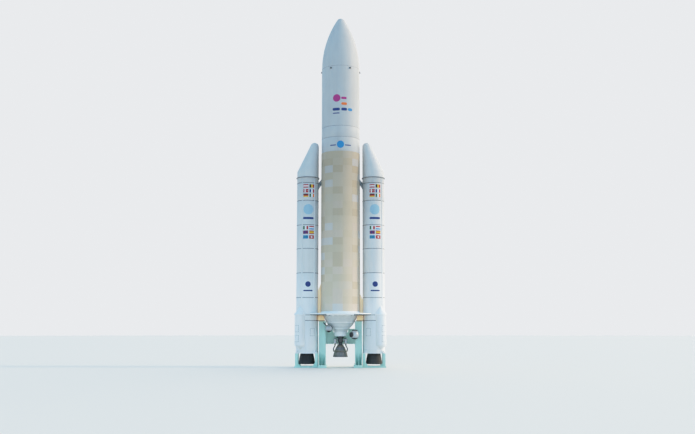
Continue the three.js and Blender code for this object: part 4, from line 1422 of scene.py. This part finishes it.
for side, sign in left_right:
    body = fairing_bodies[side]
    outline = fairing_line(0.0)
    outline += fairing_line(fairing_wall)[::-1] + outline[:1]
    first = 0.0 if sign > 0 else 180.0
    shell = turned(outline, 96, 180.0, first)
    moved(shell, sign * 0.0004)
    fit(shell, f"fairing_shell_{side}", white_paint, [f"fairing_half_{side}"], body=body)

    seam = band(upper_radius, ogive_bottom, 0.006, 0.001, 96, seam_sweep, first)
    fit(seam, f"fairing_seam_{side}", seal_and_shade, body=body)

    nubs = bmesh.new()
    for angle in (30, 90, 150):
        nub = bmesh.new()
        block(nub, (-0.05, -upper_radius - 0.075, lug_low), (0.05, -upper_radius + 0.02, lug_low + 0.11))
        for v in nub.verts:
            if v.co.z > lug_low + 0.1 and v.co.y < -upper_radius - 0.05:
                v.co.y += 0.04
        soften(nub, 0.008)
        add(nubs, swung(nub, sign * angle))
    fit(nubs, f"fairing_lugs_{side}", dark_steel, body=body)

    mat_radius = upper_radius - fairing_wall - 0.012
    mat_edges = [(mat_radius, mat_bottom + mat_step * i) for i in range(mat_rows + 1)]
    mats = turned(mat_edges, 24, 172.0, first + 4.0)
    bmesh.ops.reverse_faces(mats, faces=mats.faces)
    bmesh.ops.inset_individual(mats, faces=mats.faces, thickness=0.012, depth=0.010)
    fit(mats, f"fairing_mats_{side}", mat_foam, body=body)


# Markings.
# Thin coloured film on the white paint: two groups of six small striped panels with discs and bars on each
# booster, a disc and bars on the fairing, and a disc between bars on the upper skirt.

film_proud = 0.0025
film_colours = {
    "red": (0.46, 0.026, 0.030), "pale": (0.80, 0.80, 0.80), "black": (0.012, 0.012, 0.014),
    "yellow": (0.76, 0.46, 0.02), "navy": (0.020, 0.045, 0.20), "green": (0.015, 0.13, 0.05),
    "orange": (0.80, 0.18, 0.03), "blue": (0.02, 0.25, 0.52), "sky": (0.33, 0.52, 0.64),
    "magenta": (0.44, 0.03, 0.21), "plum": (0.24, 0.035, 0.13), "sea": (0.06, 0.30, 0.33),
}
film_names = list(film_colours)
films = [finish(f"film_{name}", film_colours[name], film_colours[name], 0.38, amount=0.0, grain=0.05)
         for name in film_names]


def film(shape, radius, along, z, wide, tall, colour, outline="square"):
    """Adds film on a tube: square, round or a bar. along is the arc length from the front to its middle."""
    where = Matrix.Rotation(math.radians(90), 4, "X")
    steps = 8 if outline == "square" else 32
    out = radius + film_proud
    cut = bmesh.ops.create_grid(shape, x_segments=steps, y_segments=2, size=0.5, matrix=where)["verts"]
    for v in cut:
        turn = (along + v.co.x * wide) / radius
        past_end = max(abs(v.co.x) * wide - (wide - tall) / 2, 0) * 2 / tall
        share = {"square": 1.0, "round": math.sqrt(max(1 - 4 * v.co.x ** 2, 0)),
                 "bar": math.sqrt(max(1 - past_end ** 2, 0))}[outline]
        v.co = Vector((math.sin(turn) * out, -math.cos(turn) * out, z + v.co.z * tall * share))
    for face in {f for v in cut for f in v.link_faces}:
        face.material_index = film_names.index(colour)


# A striped panel's pieces are left, bottom, right, top and colour, on a square from -1 to 1.


def across(top, middle, bottom, edge=0.34):
    """Three level stripes."""
    return [(-1, edge, 1, 1, top), (-1, -edge, 1, edge, middle), (-1, -1, 1, -edge, bottom)]


def upright(left, middle, right):
    """Three upright stripes."""
    return [(-1, -1, -0.34, 1, left), (-0.34, -1, 0.34, 1, middle), (0.34, -1, 1, 1, right)]


def crossed(field, lines, left=-0.5, half=0.2):
    """Two stripes that cross on a plain field."""
    return [(-1, -1, 1, 1, field), (left, -1, -0.1, 1, lines), (-1, -half, 1, half, lines)]


centred = [(-1, -1, 1, 1, "red"), (-0.15, -0.6, 0.15, 0.6, "pale"), (-0.45, -0.2, 0.45, 0.2, "pale")]
panel_degrees = (-8.0, 24.5)
panel_wide = 0.36
panel_tall = 0.235
panel_pairs = [(12.5375, across("red", "pale", "red"), upright("black", "yellow", "red")),
               (12.1925, crossed("red", "pale"), upright("navy", "pale", "red")),
               (11.875, across("black", "red", "yellow"), upright("green", "pale", "orange")),
               (9.595, upright("green", "pale", "red"), across("red", "pale", "blue")),
               (9.2775, crossed("plum", "navy"), across("red", "yellow", "red", 0.5)),
               (8.946, crossed("blue", "sea", -0.4, 0.25), centred)]

for side, sign in left_right:
    marks = bmesh.new()
    for z, *pair in panel_pairs:
        for degrees, pieces in zip(panel_degrees, pair):
            middle = math.radians(degrees) * booster_radius
            for left, bottom, right, top, colour in pieces:
                along = middle + (left + right) / 4 * panel_wide
                up = z + (bottom + top) / 4 * panel_tall
                wide = (right - left) / 2 * panel_wide
                tall = (top - bottom) / 2 * panel_tall
                film(marks, booster_radius, along, up, wide, tall, colour)
    middle = math.radians(6.4) * booster_radius
    film(marks, booster_radius, middle, 10.886, 0.72, 0.72, "sky", "round")
    film(marks, booster_radius, middle, 10.27, 0.78, 0.15, "navy", "bar")
    film(marks, booster_radius, middle, 5.68, 0.38, 0.38, "navy", "round")
    film(marks, booster_radius, middle, 5.235, 0.66, 0.09, "navy", "bar")
    fit(moved(marks, sign * booster_x), f"booster_marks_{side}", films)

skirt_marks = bmesh.new()
film(skirt_marks, upper_radius, 0.0, 15.385, 0.52, 0.52, "blue", "round")
for along in (-0.54, 0.54):
    film(skirt_marks, upper_radius, along, 15.34, 0.46, 0.07, "navy", "bar")
fit(skirt_marks, "upper_skirt_marks", films)

fairing_marks = {"l": [(-0.275, 18.71, 0.54, 0.54, "magenta"), (-0.31, 17.90, 0.54, 0.20, "navy"),
                       (-0.31, 17.62, 0.50, 0.07, "navy")],
                 "r": [(0.24, 18.71, 0.40, 0.16, "magenta"), (0.26, 18.30, 0.42, 0.18, "orange"),
                       (0.26, 17.90, 0.42, 0.20, "navy"), (0.71, 17.90, 0.36, 0.20, "blue")]}
for side, pieces in fairing_marks.items():
    marks = bmesh.new()
    for along, z, wide, tall, colour in pieces:
        film(marks, upper_radius, along, z, wide, tall, colour, "round" if wide < tall * 1.2 else "bar")
    fit(marks, f"fairing_marks_{side}", films, body=fairing_bodies[side])


low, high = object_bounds()
